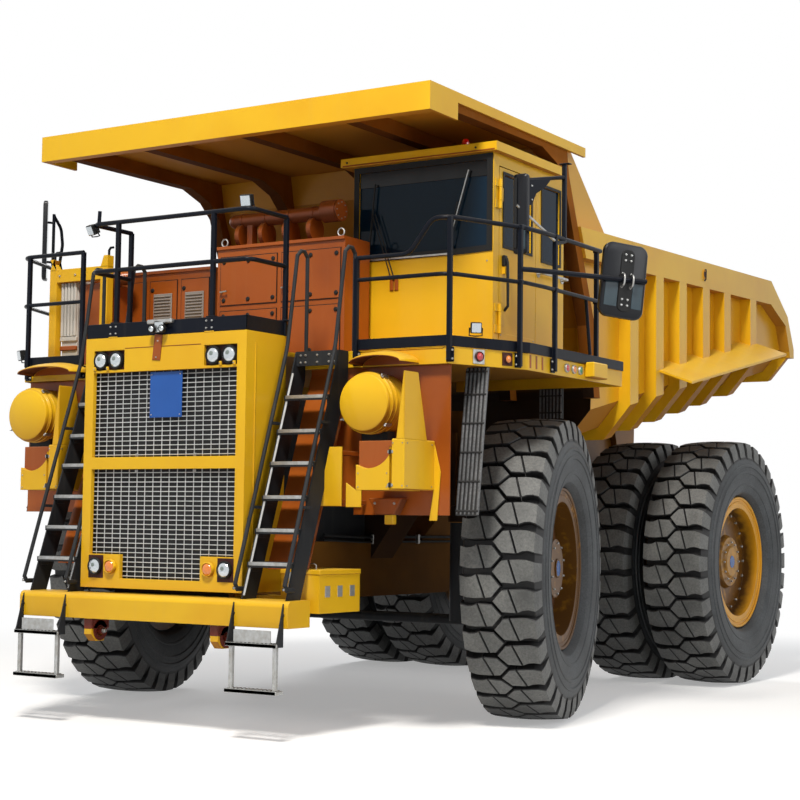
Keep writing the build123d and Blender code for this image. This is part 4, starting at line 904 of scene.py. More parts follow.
# Rolled hoods over the air cleaners' intakes: yellow sheet over an orange-brown lining that is
# painted shade under the hood, closed at the deck's edge by a filler plate in the same painted
# shade.
deck_edge = -3.965
hood_arc = [math.pi * step / 18 for step in range(19)]
for side, inner, outer, base in ((1, 1.52, 2.07, 3.040), (-1, 1.50, 2.22, 3.085)):
    middle, reach = side * (inner + outer) / 2, (outer - inner) / 2
    for finish, lift in ((yellow, 0.006), (orange, 0.0)):
        rings = []
        hood = bmesh.new()
        for y, rise, grow in ((deck_edge - 0.002, 0.115, 1.0), (deck_edge - 0.10, 0.125, 1.0),
                (deck_edge - 0.20, 0.105, 0.97), (deck_edge - 0.26, 0.070, 0.90)):
            rows = []
            for down in (0.0, 0.005):
                rows += [hood.verts.new((middle + math.cos(turn) * reach * grow, y,
                    base + lift + math.sin(turn) * rise * 0.8 - down))
                    for turn in (hood_arc if not down else reversed(hood_arc))]
            rings.append(rows)
        front_trim.take(skinned(hood, rings), finish, smooth=False)
    arch_shade_plate = [(middle + math.cos(turn) * reach * 0.97, deck_edge - 0.004, base + math.sin(turn) * 0.085)
              for turn in hood_arc]
    front_trim.take(slab(arch_shade_plate, (0, 0.003, 0), 0.0005), orange)
front_trim.ride("front_trim", "chassis", "yellow_paint")

work_lamp((-0.03, shell_front - 0.015, 3.365), (0.15, -1, -0.15), 0.05)
for x in (-0.085, 0.025):
    round_lamp(work_lamps, (x, shell_front - 0.045, 3.345), 0.032, clear_lens)
work_lamps.take(block((-0.165, shell_front - 0.04, 3.395), (0.105, shell_front + 0.03, 3.43), 0.008),
    galvanised)
work_lamp((-0.90, -4.66, 4.275), (-0.2, -1, -0.5), 0.045)
work_lamp((0.80, -4.66, 4.385), (0.2, -1, -0.3), 0.05)
work_lamp((-2.70, -3.66, 3.33), (-0.5, -1, -0.2), 0.05)
work_lamp((2.475, -3.74, 3.335), (0.75, -1, -0.2), 0.045)
work_lamps.ride("work_lamps", "chassis", "lamp_lens")


# ------------------------------------------------------------------ air cleaners, fender boxes
# Spun and rolled steel canisters, their caps held by over-centre clips on a rolled band. The
# fender boxes are folded and welded sheet with draw latches between them. The right side has
# the same canister and boxes, placed the same way round; the stays and guards are on the left.

cleaner_trim = Gathered()
for shift, height, long in ((0.0, 2.715, 0.560), (-3.75, 2.700, 0.460)):
    axis = at((1.683 + shift, -4.150, height)) @ spun(-90, "X")
    for start, wide, proud in ((0.004, 0.014, 0.006), (0.060, 0.022, 0.008), (0.135, 0.010, 0.004)):
        cleaner_trim.take(band(0.246, 0.250 + proud, start + wide, start, 72), yellow, axis, True)
    drum = [(0.0, -0.052), (0.222, -0.052), (0.234, -0.047), (0.240, -0.036), (0.240, -0.012),
        (0.246, -0.006), (0.250, 0.004), (0.250, long - 0.02), (0.235, long), (0.0, long)]
    cleaner_trim.take(turned(drum, 72), yellow, axis, True)
    for turn in (45, 150, 305):
        out = spun(turn, "Z") @ at((0.256, 0, 0.035))
        cleaner_trim.take(block((-0.004, -0.016, -0.045), (0.014, 0.016, 0.045)), zinc_steel, axis @ out)
        cleaner_trim.take(block((0.010, -0.007, -0.062), (0.026, 0.007, 0.012), 0.003), zinc_steel,
            axis @ out)
    strap = band(0.250, 0.257, 0.345, 0.30, 72)
    cleaner_trim.take(strap, steel_black, axis, True)
    saddle = block((1.55 + shift, -4.02, 2.38), (1.81 + shift, -3.90, 2.485), 0.006)
    cleaner_trim.take(saddle, steel_black)
cleaner_trim.ride("air_cleaner_canisters", "chassis", "yellow_paint", "air_cleaners")

boxes = Gathered()
cradle_left, cradle_right, notch = 1.735, 2.052, 0.236
scallop = [(1.852 + notch * math.cos(math.radians(angle)), 2.405 + notch * math.sin(math.radians(angle)))
           for angle in range(210, 336, 9)]
scallop = [corner for corner in scallop if cradle_left < corner[0] < cradle_right]
for shift in (0.0, -3.69):
    aside = at((shift, 0, 0))
    boxes.take(block((2.070, -4.376, 2.000), (2.190, -3.897, 2.405), 0.008), yellow, aside)
    duct = bmesh.new()
    for z, inner, rear in ((2.400, 2.112, -4.020), (2.945, 2.176, -4.165)):
        corners = [(inner, -4.374), (2.188, -4.374), (2.188, rear), (inner, rear)]
        duct.faces.new([duct.verts.new((x, y, z)) for x, y in corners])
    bmesh.ops.bridge_loops(duct, edges=duct.edges[:])
    bmesh.ops.recalc_face_normals(duct, faces=duct.faces)
    bmesh.ops.bevel(duct, geom=duct.edges[:], offset=0.004, segments=2, affect="EDGES")
    boxes.take(duct, yellow, aside)
    cradle = [(cradle_left, 1.995), (cradle_right, 1.995), (cradle_right, 2.345), *scallop[::-1],
              (cradle_left, 2.200)]
    boxes.take(slab([(x, -4.376, z) for x, z in cradle], (0, 0.479, 0)), yellow, aside)
    # The orange-brown plate seen through the cradle's notch is painted shade under the canister.
    boxes.take(block((1.732, -4.330, 2.000), (2.050, -4.300, 2.392)), orange, aside)
    flange = [(2.189, 2.380), (2.249, 2.150), (2.219, 1.756), (2.145, 1.756), (2.180, 1.980)]
    boxes.take(slab([(x, -3.907, z) for x, z in flange], (0, 0.010, 0)), yellow, aside)
    for z in (2.035, 2.300):
        boxes.take(block((2.035, -4.380, z - 0.012), (2.087, -4.368, z + 0.012), 0.003), zinc_steel, aside)
        boxes.take(block((2.052, -4.390, z - 0.020), (2.070, -4.376, z + 0.020), 0.003), steel_black, aside)
    bolts(boxes, [(x, -4.376, z) for x in (2.085, 2.175) for z in (2.03, 2.37)], 0.006, turn=aside)
    bolts(boxes, [(x, -4.376, z) for x in (1.758, 2.03) for z in (2.02, 2.13)], 0.006, turn=aside)
    bolts(boxes, [(2.190, y, z) for y in (-4.33, -3.95) for z in (2.03, 2.37)], 0.006, (1, 0, 0),
        turn=aside)
foot = [(1.640, 2.055), (1.730, 1.997), (1.786, 1.997), (1.786, 1.858), (1.640, 1.858)]
boxes.take(slab([(x, -4.374, z) for x, z in foot], (0, 0.012, 0)), yellow)
wing = [(1.423, 2.350), (1.545, 2.350), (1.545, 1.866), (1.311, 1.866)]
boxes.take(slab([(x, -4.300, z) for x, z in wing], (0, 0.016, 0)), yellow)
for z in (1.90, 2.30):
    boxes.take(block((1.500, -4.290, z - 0.02), (1.530, -3.900, z + 0.02)), orange)
# The plate behind the ladder is orange-brown as painted shade below the deck.
guard = [(1.325, 2.990), (1.480, 2.990), (1.480, 1.866), (1.034, 1.866)]
boxes.take(slab([(x, -3.915, z) for x, z in guard], (0, 0.012, 0)), orange)
bracket = [(1.614, 1.938), (1.940, 1.938), (1.865, 1.800), (1.690, 1.800)]
boxes.take(slab([(x, -4.000, z) for x, z in bracket], (0, 0.103, 0), 0.008), orange)
boxes.take(block((1.765, -3.990, 1.720), (1.850, -3.930, 1.805), 0.008), yellow)
bolts(boxes, [(x, -4.000, 1.895) for x in (1.68, 1.87)], 0.012)
boxes.ride("fender_boxes", "chassis", "yellow_paint", "fenders")


# ------------------------------------------------------------------ mud flaps
# Moulded rubber, ribbed down its length so that mud slides off, with clamping bars across.

flap_rubber = rubber("ribbed_flap_rubber", "#3A3C3D", "#77787A", 0.2)
coated("mud_flaps", groove_rubber)
flap_ribs = Gathered()
for side in (-1, 1):
    middle = side * 2.395
    lean = [(middle - 0.095, -3.566, 3.02), (middle - 0.095, -3.721, 1.81)]
    flap_ribs.take(row_of(pipe(lean, 0.013, 6), 6, (0.038, 0, 0), flap_rubber))
    for z in (1.84, 2.08, 2.32, 2.56, 2.80, 2.99):
        y = -3.561 - 0.158 * (3.03 - z) / 1.23 - 0.012
        flap_ribs.take(pipe([(middle - 0.104, y, z), (middle + 0.104, y, z)], 0.010, 6), groove_rubber)
    rear = side * 1.925
    flap_ribs.take(row_of(pipe([(rear - 0.11, -1.308, 2.745), (rear - 0.11, -1.308, 3.025)], 0.010, 6), 7,
        (0.0365, 0, 0), flap_rubber))
    for z in (2.80, 2.96):
        flap_ribs.take(pipe([(rear - 0.124, -1.312, z), (rear + 0.124, -1.312, z)], 0.008, 6),
            groove_rubber)
flap_ribs.ride("mud_flap_ribs", "chassis", "black_rubber")


# ------------------------------------------------------------------ toolbox
# Folded and welded sheet with a lipped lid, a hasp and a drop handle.

box_low, box_high = Vector((1.10, -4.495, 1.0)), Vector((1.48, -3.905, 1.345))
tool_trim = Gathered()
tool_trim.take(block((box_low.x - 0.006, box_low.y - 0.006, box_high.z - 0.035),
    (box_high.x + 0.006, box_high.y + 0.006, box_high.z + 0.006)), yellow)
tool_trim.take(pipe([(1.22, -4.40, box_high.z), (1.22, -4.40, 1.385), (1.24, -4.40, 1.395),
    (1.36, -4.40, 1.395), (1.38, -4.40, 1.385), (1.38, -4.40, box_high.z)], 0.006, 8), zinc_steel)
hasp = box_low.y - 0.008
tool_trim.take(block((1.185, hasp - 0.006, 1.20), (1.225, hasp, 1.33), 0.003), zinc_steel)
tool_trim.take(block((1.180, hasp - 0.028, 1.155), (1.230, hasp - 0.004, 1.205), 0.006), steel_black)
tool_trim.take(pipe([(1.19, hasp - 0.016, 1.20), (1.19, hasp - 0.016, 1.235), (1.205, hasp - 0.016, 1.248),
    (1.22, hasp - 0.016, 1.235), (1.22, hasp - 0.016, 1.20)], 0.004, 8), zinc_steel)
side_x = box_high.x
for y in (-4.38, -4.20, -4.02):
    tool_trim.take(block((side_x - 0.001, y - 0.035, 1.13), (side_x + 0.003, y + 0.035, 1.22), 0.001),
        galvanised)
    bolts(tool_trim, [(side_x + 0.003, y - 0.025, z) for z in (1.142, 1.208)], 0.004, (1, 0, 0))
tool_trim.ride("toolbox_fittings", "chassis", "yellow_paint")


# ------------------------------------------------------------------ cab
# A welded steel cab. Its windows are tinted laminated glass held in extruded rubber seals;
# wiper arms, handles and hinges are pressed or cast and bolted on.

def polished(name, colour, scale, detail, dulled, span=(0.0, 1.0), stretch=None, **shading):
    """A smooth face of one colour whose gloss is broken by a thin film or by fine rings."""
    material, tree = new_material(name)
    place = add(tree, "ShaderNodeTexCoord")["Object"]
    if stretch:
        place = add(tree, "ShaderNodeMapping", {"Vector": place, "Scale": stretch})[0]
    film = add(tree, "ShaderNodeTexNoise", {"Vector": place, "Scale": scale, "Detail": detail})["Fac"]
    gloss = add(tree, "ShaderNodeMapRange", {"Value": film, "From Min": span[0], "From Max": span[1],
        "To Min": dulled[0], "To Max": dulled[1]})[0]
    settings = {label.replace("_", " "): value for label, value in shading.items()}
    finish_material(tree, add(tree, "ShaderNodeBsdfPrincipled", {
        "Base Color": rgb(colour), "Roughness": gloss, **settings})[0])
    return material


# Laminated glass: a dark tint, a hard gloss and a thin uneven film of dust.
cab_tint = polished("tinted_laminated_glass", "#0E2639", 1 / 0.25, 6.0, (0.03, 0.16), (0.4, 0.8), IOR=1.52,
    Specular_IOR_Level=0.05, Transmission_Weight=0.15)
coated("cab_glass", cab_tint)
coated("door_glass", cab_tint)
shade_film = moulded("black_frit_band", "#08090B", 0.12)
handle_plastic = moulded("black_moulded_nylon", "#101113", 0.45, 0.3)
cab_low, cab_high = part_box("cab_shell")
cab_face, cab_side = cab_low.y, 2.200
cab_trim = Gathered()


def frame_of(piece, corners, wide, thick, finish, out):
    """A seal of flat section round an opening's corners, laid on the face that out names."""
    ring = [Vector(corner) for corner in corners]
    centre = sum(ring, Vector()) / len(ring)
    away = Vector(out)
    mesh = bmesh.new()
    loops = []
    for grow, lift in ((0.0, 0.0), (0.0, thick), (wide, thick), (wide, 0.0)):
        loop = []
        for corner in ring:
            spread = corner - centre
            spread = Vector([grow * math.copysign(1, s) if abs(s) > 1e-4 else 0.0 for s in spread])
            loop.append(mesh.verts.new(corner + spread + away * lift))
        loops.append(loop)
    piece.take(skinned(mesh, [*loops, loops[0]], capped=False), finish)


def opening(low, high):
    """The four corners of an upright rectangle between two opposite ones."""
    return [low, (high[0], high[1], low[2]), high, (low[0], low[1], high[2])]


front_seal = [(0.802, cab_face, 4.147), (1.80, cab_face, 4.147), (2.138, cab_face, 4.16),
    (2.138, cab_face, 4.913), (0.802, cab_face, 4.913)]
frame_of(cab_trim, front_seal, 0.054, 0.010, seal_rubber, (0, -1, 0))
cab_trim.take(block((0.805, cab_face + 0.006, 4.775), (2.135, cab_face + 0.012, 4.912), 0.001), shade_film)
cab_trim.take(block((0.748, cab_face - 0.012, 4.098), (1.79, cab_face - 0.001, 4.118), 0.003), galvanised)
seal_wide, seal_thick = 0.024, 0.008
for low, high, out in (((cab_side, -2.045, 4.145), (cab_side, -1.695, 4.825), (1, 0, 0)),
        ((0.990, cab_high.y, 4.205), (1.950, cab_high.y, 4.815), (0, 1, 0)),
        ((0.740, -2.785, 4.145), (0.740, -1.925, 4.825), (-1, 0, 0))):
    frame_of(cab_trim, opening(low, high), seal_wide, seal_thick, seal_rubber, out)

wiper_face = cab_face - 0.022
for start, end, blade in (((1.185, 3.93), (0.985, 4.52), ((0.925, 4.17), (0.985, 4.80))),
        ((1.78, 4.16), (1.86, 4.56), ((1.80, 4.315), (1.96, 4.835)))):
    left = start[0] < 1.5
    for shift in ((-0.016, 0.016) if left else (0.0,)):
        cab_trim.take(pipe([(start[0] + shift, cab_face - 0.006, start[1]),
            (start[0] + shift, wiper_face - 0.02, start[1] + 0.02),
            (end[0] + shift, wiper_face - 0.02, end[1])], 0.006, 6), seal_rubber)
    cab_trim.take(pipe([(x, wiper_face, z) for x, z in blade], 0.010, 6, 0.6),
        seal_rubber if left else galvanised)
    cab_trim.take(pipe([(x, wiper_face + 0.010, z) for x, z in blade], 0.006, 4), seal_rubber)
    cab_trim.take(turned([(0, 0), (0.026, 0), (0.026, 0.012), (0.016, 0.024), (0, 0.024)], 20),
        handle_plastic, about_y((start[0], cab_face, start[1])))
for x in (1.145, 1.195):
    cab_trim.take(block((x, cab_face - 0.014, 3.815), (x + 0.040, cab_face, 3.945)), orange)
for y in (-2.88, -2.32, -1.76):
    cab_trim.take(block((0.72, y - 0.02, 5.056), (2.17, y + 0.02, 5.064), 0.003), yellow)
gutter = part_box("cab_roof")
cab_trim.take(block((gutter[0].x + 0.02, gutter[0].y - 0.003, gutter[0].z + 0.004),
    (gutter[1].x - 0.02, gutter[0].y + 0.002, gutter[0].z + 0.018), 0.002), orange)
bolts(cab_trim, [(0.70, gutter[0].y, 5.015), (2.05, gutter[0].y, 5.015)], 0.010, finish=steel_black)
grab = [(cab_side, -2.12, 4.01), (cab_side + 0.055, -2.12, 4.01), (cab_side + 0.062, -2.11, 4.01),
        (cab_side + 0.062, -1.65, 4.01), (cab_side + 0.055, -1.64, 4.01), (cab_side, -1.64, 4.01)]
cab_trim.take(pipe(grab, 0.013, 10), galvanised)
for y in (-2.12, -1.64):
    cab_trim.take(band(0, 0.034, 0.006, 0, 20), galvanised, about_x((cab_side, y, 4.01)))
for x in (0.80, 2.14):
    for z in (3.24, 4.02):
        bolts(cab_trim, [(x, cab_face, z)], 0.008)
cab_trim.take(pipe([(2.02, -1.74, 5.055), (2.02, -1.74, 5.085), (2.03, -1.70, 5.115)], 0.006, 6),
    seal_rubber)
cab_trim.take(block((0.76, -1.603, 3.30), (1.30, -1.590, 4.05)), yellow)
louvre = block((0.80, -1.592, 3.38), (1.26, -1.580, 3.40))
cab_trim.take(row_of(louvre, 12, (0, 0, 0.052), steel_black))
cab_trim.ride("cab_seals_and_wipers", "chassis", "yellow_paint")

door_trim = Gathered()
frame_of(door_trim, opening((cab_side, -2.775, 4.175), (cab_side, -2.265, 4.805)), seal_wide, seal_thick,
         seal_rubber, (1, 0, 0))
# The lever's long thin tail down the door is its cast shadow, painted in the black moulding.
handle = [(cab_side, -2.785, 4.055), (cab_side + 0.040, -2.785, 4.050), (cab_side + 0.046, -2.785, 4.02),
    (cab_side + 0.046, -2.778, 3.80), (cab_side + 0.040, -2.765, 3.64), (cab_side + 0.002, -2.760, 3.60)]
door_trim.take(pipe(handle, 0.013, 10), handle_plastic)
door_trim.take(block((cab_side - 0.001, -2.812, 3.985), (cab_side + 0.034, -2.758, 4.085), 0.008),
    handle_plastic)
door_trim.take(turned([(0, 0), (0.016, 0), (0.016, 0.012), (0.010, 0.014), (0, 0.014)], 20), zinc_steel,
    about_x((cab_side, -2.70, 3.93)))
door_trim.take(block((cab_side - 0.001, -2.852, 3.285), (cab_side + 0.004, -2.20, 3.40), 0.002), yellow)
bolts(door_trim, [(cab_side + 0.004, y, z) for y in (-2.83, -2.22) for z in (3.305, 3.38)], 0.006,
    (1, 0, 0))
door_trim.ride("door_seal_handle_and_painted_shadow", "door", "dash_plastic")

coated("dashboard", moulded("dark_moulded_abs", "#1E2022", 0.5, 0.4))


# ------------------------------------------------------------------ driver's seat
# A suspension seat: two pads of polyurethane foam under a woven polyester cover with sewn
# channels, on a pressed steel pan over a rubber bellows.

def woven(name, colour, lighter, thread=0.0016):
    """Woven polyester, its threads drawn four times too coarse so that they show."""
    material, tree = new_material(name)
    place = add(tree, "ShaderNodeTexCoord")["Object"]
    weave = []
    for axis in ("X", "Z"):
        weave.append(add(tree, "ShaderNodeTexWave", {"Vector": place,
            "Scale": math.tau / (thread * 4) / 20, "Distortion": 0.6}, bands_direction=axis)["Fac"])
    cloth = add(tree, "ShaderNodeMath", {0: weave[0], 1: weave[1]}, operation="MULTIPLY")[0]
    tone = add(tree, "ShaderNodeMix", {0: cloth, 6: rgb(colour), 7: rgb(lighter)}, data_type="RGBA")[2]
    bump = add(tree, "ShaderNodeBump", {"Height": cloth, "Strength": 0.5, "Distance": 0.001})[0]
    finish_material(tree, add(tree, "ShaderNodeBsdfPrincipled",
        {"Base Color": tone, "Roughness": 0.9, "Normal": bump, "Sheen Weight": 0.4,
        "Sheen Roughness": 0.5})[0])
    return material


seat_cloth = woven("woven_polyester_cloth", "#23262B", "#3A3F46")


def cushion(name, wide, deep, thick, channels, place):
    """A crowned pad: full in the middle, pinched at its piped edge, with sewn channels."""
    steps, pinch, seam_depth, seam_wide = 28, 0.025, 0.16, 0.05
    mesh = bmesh.new()
    for side in (1, -1):
        grid = []
        for row in range(steps + 1):
            v = 2 * row / steps - 1
            seam = min(abs(v - channel) for channel in channels)
            groove = seam_depth * math.exp(-(seam / seam_wide) ** 2) if side > 0 else 0.0
            line = []
            for column in range(steps + 1):
                u = 2 * column / steps - 1
                full = max(0.0, (1 - abs(u) ** 4) * (1 - abs(v) ** 4)) ** 0.35
                line.append(mesh.verts.new((u * wide / 2 * (1 - pinch * (1 - v * v) * u * u),
                    v * deep / 2 * (1 - pinch * (1 - u * u) * v * v),
                    side * thick / 2 * full * (1 - groove))))
            grid.append(line)
        for near, far in zip(grid, grid[1:]):
            for column in range(steps):
                mesh.faces.new((near[column], near[column + 1], far[column + 1], far[column]))
    bmesh.ops.remove_doubles(mesh, verts=mesh.verts, dist=1e-5)
    bmesh.ops.recalc_face_normals(mesh, faces=mesh.faces)
    for face in mesh.faces:
        face.smooth = True
    data = bpy.data.meshes.new(name)
    mesh.to_mesh(data)
    mesh.free()
    data.transform(place)
    data.materials.append(seat_cloth)
    made = bpy.data.objects.new(name, data)
    bpy.context.scene.collection.objects.link(made)
    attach(made, "chassis")


lean_back = spun(81, "X")
cushion("seat_cushion", 0.50, 0.49, 0.125, (-0.5, 0.0, 0.5), at((1.525, -2.125, 3.645)))
cushion("seat_back", 0.46, 0.66, 0.09, (-0.55, -0.1, 0.35), at((1.525, -1.868, 4.045)) @ lean_back)
seat_frame = Gathered()
seat_frame.take(block((1.30, -2.33, 3.545), (1.75, -1.90, 3.583), 0.012), steel_black)
seat_frame.take(block((1.40, -2.26, 3.232), (1.65, -1.96, 3.262), 0.006), steel_black)
bellows = []
for fold in range(7):
    bellows += [(0.150, 3.262 + fold * 0.040), (0.118, 3.282 + fold * 0.040)]
seat_frame.take(turned([(0.0, 3.262)] + bellows + [(0.150, 3.545), (0.0, 3.545)], 32), seal_rubber,
    at((1.525, -2.11, 0)), True)
seat_frame.ride("seat_frame", "chassis", "seat_fabric", "driver_seat")


# ------------------------------------------------------------------ handrails
# Steel tube drawn round wooden formers, welded to slim square posts whose feet are bolted to
# the decks' edges, over toe boards of flat bar.

def tube_tree():
    """A round tube along a line of edges, its corners bent to a radius."""
    tree, entry = new_tree("bent_tube", Bend="Float", Radius="Float", Material="Material")
    line = add(tree, "GeometryNodeMeshToCurve", {"Mesh": entry["Geometry"]})[0]
    line = add(tree, "GeometryNodeFilletCurve", {"Curve": line, "Count": 6, "Radius": entry["Bend"],
        "Limit Radius": True}, mode="POLY")[0]
    ring = add(tree, "GeometryNodeCurvePrimitiveCircle", {"Resolution": 14,
        "Radius": entry["Radius"]})["Curve"]
    tube = add(tree, "GeometryNodeCurveToMesh", {"Curve": line, "Profile Curve": ring,
        "Fill Caps": True})[0]
    return end_tree(tree, entry, tube)


bent_tube = tube_tree()


def tube(piece, points, radius, bend, finish):
    """Adds a bent tube through its corner points."""
    line = bpy.data.meshes.new("tube_line")
    line.from_pydata([tuple(point) for point in points], [(i, i + 1) for i in range(len(points) - 1)], [])
    made = baked(bent_tube, line, Radius=radius, Bend=bend, Material=finish)
    shell = bmesh.new()
    shell.from_mesh(made)
    bpy.data.meshes.remove(made)
    piece.take(shell, finish, smooth=True)


rails = Gathered()
deck_front, top_rail, mid_rail, post_half, tube_radius = -3.995, 4.225, 3.760, 0.019, 0.020
for side, start, low_start in ((1, 1.465, 3.945), (-1, 1.60, top_rail)):
    posts = [(start, deck_front, 3.05, low_start), (2.37 if side > 0 else 2.28, deck_front, 3.05,
        top_rail), (2.640, -3.290, 3.05, top_rail), (2.680, -2.725, 3.05, top_rail),
        (2.640, -1.815, 3.17, top_rail)]
    for x, y, low, high in posts:
        rails.take(block((side * x - post_half, y - post_half, low),
            (side * x + post_half, y + post_half, high), 0.003), navy)
    path = [(start, deck_front, low_start)]
    if side > 0:
        path += [(1.98, deck_front, low_start), (2.20, deck_front, top_rail)]
    path += [(2.36, deck_front, top_rail), (2.655, -3.225, top_rail), (2.680, -2.9, top_rail),
             (2.680, -1.815, top_rail)]
    tube(rails, [(side * x, y, z) for x, y, z in path], tube_radius, 0.14, navy)
    path = [(start, deck_front), (2.36, deck_front), (2.655, -3.225), (2.680, -2.9), (2.680, -1.815)]
    tube(rails, [(side * x, y, mid_rail) for x, y in path], tube_radius * 0.9, 0.14, navy)
    tube(rails, [(side * 2.672, -2.100, mid_rail), (side * 2.672, -2.010, 3.262)], tube_radius * 0.8, 0.0,
        navy)
    board = [(start - 0.02, -3.980), (2.340, -3.980), (2.665, -3.155), (2.665, -1.275)]
    for (x0, y0), (x1, y1) in zip(board, board[1:]):
        inward = Vector((y0 - y1, x1 - x0, 0)).normalized() * 0.009
        rails.take(slab(opening((side * x0, y0, 3.172), (side * x1, y1, 3.262)),
            (side * inward.x, inward.y, 0)), navy)
    feet = [(start, -3.972, (0, -1, 0)), (2.37 if side > 0 else 2.28, -3.972, (0, -1, 0)),
            (2.612, -3.275, (side * clipped.x, clipped.y, 0)), (2.656, -2.725, (side, 0, 0))]
    for x, y, out in feet:
        turn = at((side * x, y, 3.10), out)
        rails.take(block((-0.036, -0.060, 0.0), (0.036, 0.060, 0.012), 0.003), navy, turn)
        bolts(rails, [(x, z, 0.012) for x in (-0.026, 0.026) for z in (-0.035, 0.035)], 0.010, (0, 0, 1),
              galvanised, turn)
    for x, y, _, _ in posts[2:]:
        for z in (mid_rail, top_rail):
            rails.take(block((side * x - 0.026, y - 0.026, z - 0.018),
                (side * x + 0.026, y + 0.026, z + 0.018), 0.006), navy)
half_wide, front_line, rear_line = 0.862, -4.679, -4.175
for z in (4.315, 3.895):
    path = [(-half_wide, rear_line, z), (-half_wide, front_line, z), (half_wide, front_line, z),
            (half_wide, rear_line, z)]
    tube(rails, path, tube_radius, 0.07, navy)
for x, y in ((-half_wide, rear_line), (-0.57, front_line), (0.48, front_line), (half_wide, rear_line)):
    rails.take(block((x - post_half, y - post_half, 3.30), (x + post_half, y + post_half, 4.315), 0.003),
        navy)
    rails.take(block((x - 0.045, y - 0.03, 3.425), (x + 0.045, y + 0.03, 3.437), 0.003), navy)
for low, high in (((-0.872, -4.717, 3.301), (0.872, -4.707, 3.425)),
        ((-0.872, -4.717, 3.301), (-0.862, -4.150, 3.425)), ((0.862, -4.717, 3.301),
        (0.872, -4.150, 3.425))):
    rails.take(block(low, high, 0.003), navy)
for x in (-0.57, 0.48):
    bolts(rails, [(x + shift, -4.717, z) for shift in (-0.03, 0.03) for z in (3.335, 3.395)], 0.009,
        finish=galvanised)
rails.take(pipe([(-0.800, front_line, 4.31), (-0.792, front_line, 4.43)], 0.017, 12), navy)
rails.ride("handrails_bent", "chassis", "navy_paint", "handrails")

deck_trim = Gathered()
slot = block((deck_side - 0.002, -3.130, 3.05), (deck_side + 0.004, -3.105, 3.16), 0.001)
deck_trim.take(row_of(slot, 3, (0, 0.110, 0), orange))
deck_trim.take(block((deck_side - 0.001, -2.075, 3.050), (deck_side + 0.095, -1.785, 3.19), 0.010), yellow)
for side in (-1, 1):
    deck_trim.take(block((side * 1.45, -3.972, 3.155), (side * 2.30, deck_edge, 3.168), 0.003), yellow)
deck_trim.ride("deck_edge_fittings", "chassis", "yellow_paint")


# ------------------------------------------------------------------ mirrors
# Silvered glass in moulded nylon shells. The wide heads hang on steel arms in two U-bolts
# each; the tall ones stand before a mast, held by a gusset plate and a thin strut.

mirror_glass = polished("silvered_mirror_glass", "#D5DADD", 1 / 0.2, 5.0, (0.02, 0.10), Metallic=1.0)
shell_nylon = moulded("navy_moulded_nylon", "#080B12", 0.25, 0.25)
smoked_mirror = moulded("smoked_convex_mirror", "#33424A", 0.12)
mirrors = Gathered()


def shell_of(wide, high, deep, corner):
    """A moulded shell with round corners and a crowned back, about its own middle."""
    mesh = bmesh.new()
    outline = []
    for turn in range(32):
        angle = math.tau * (turn + 0.5) / 32
        x, z = math.cos(angle), math.sin(angle)
        outline.append((math.copysign(wide / 2 - corner, x) + corner * x,
            math.copysign(high / 2 - corner, z) + corner * z))
    crown = min(0.028, wide * 0.2, deep * 0.5)
    rings = []
    for y, inset in ((deep / 2, 0.003), (deep * 0.4, 0.0), (-deep * 0.2, 0.0), (-deep * 0.4, crown * 0.3),
            (-deep / 2, crown)):
        rings.append([mesh.verts.new((x - math.copysign(inset, x), y, z - math.copysign(inset, z)))
            for x, z in outline])
    return skinned(mesh, rings)


for side in (-1, 1):
    tube(mirrors, [(side * 2.645, -3.290, 3.868), (side * 2.700, -3.215, 3.868),
        (side * 3.34, -2.295, 3.84)], 0.022, 0.03, navy)
    head = at((side * 3.185, -2.430, 3.84)) @ spun(side * 52, "Z") @ \
        spun(side * 6, "Y")
    mirrors.take(shell_of(0.42, 0.65, 0.06, 0.085), shell_nylon, head, True)
    mirrors.take(block((-0.175, 0.026, -0.287), (0.175, 0.034, 0.287)), shell_nylon, head)
    mirrors.take(block((-0.165, 0.033, -0.277), (0.165, 0.037, 0.277), 0.001), mirror_glass, head)
    middle = side * 0.012
    spine = head @ at((middle, -0.034, 0.0))
    mirrors.take(shell_of(0.125, 0.54, 0.012, 0.050), seal_rubber, spine)
    for x0, x1 in ((-0.180, middle - 0.070), (middle + 0.070, 0.180)):
        mirrors.take(block((x0, -0.034, -0.235), (x1, -0.029, -0.015), 0.002), smoked_mirror, head)
    places = [(middle + x, -0.040, z) for x in (-0.027, 0.027) for z in (-0.215, -0.165, 0.175, 0.225)]
    bolts(mirrors, places, 0.011, finish=galvanised, turn=head)
    for x in (middle - 0.042, middle + 0.042):
        loop = [(x, -0.040, -0.055), (x, -0.090, -0.055), (x, -0.090, 0.055), (x, -0.040, 0.055)]
        bow = Gathered()
        tube(bow, loop, 0.009, 0.04, zinc_steel)
        mirrors.take(bow.plain("bow"), place=head)
        bolts(mirrors, [(x, -0.040, z) for z in (-0.058, 0.058)], 0.012, turn=head)

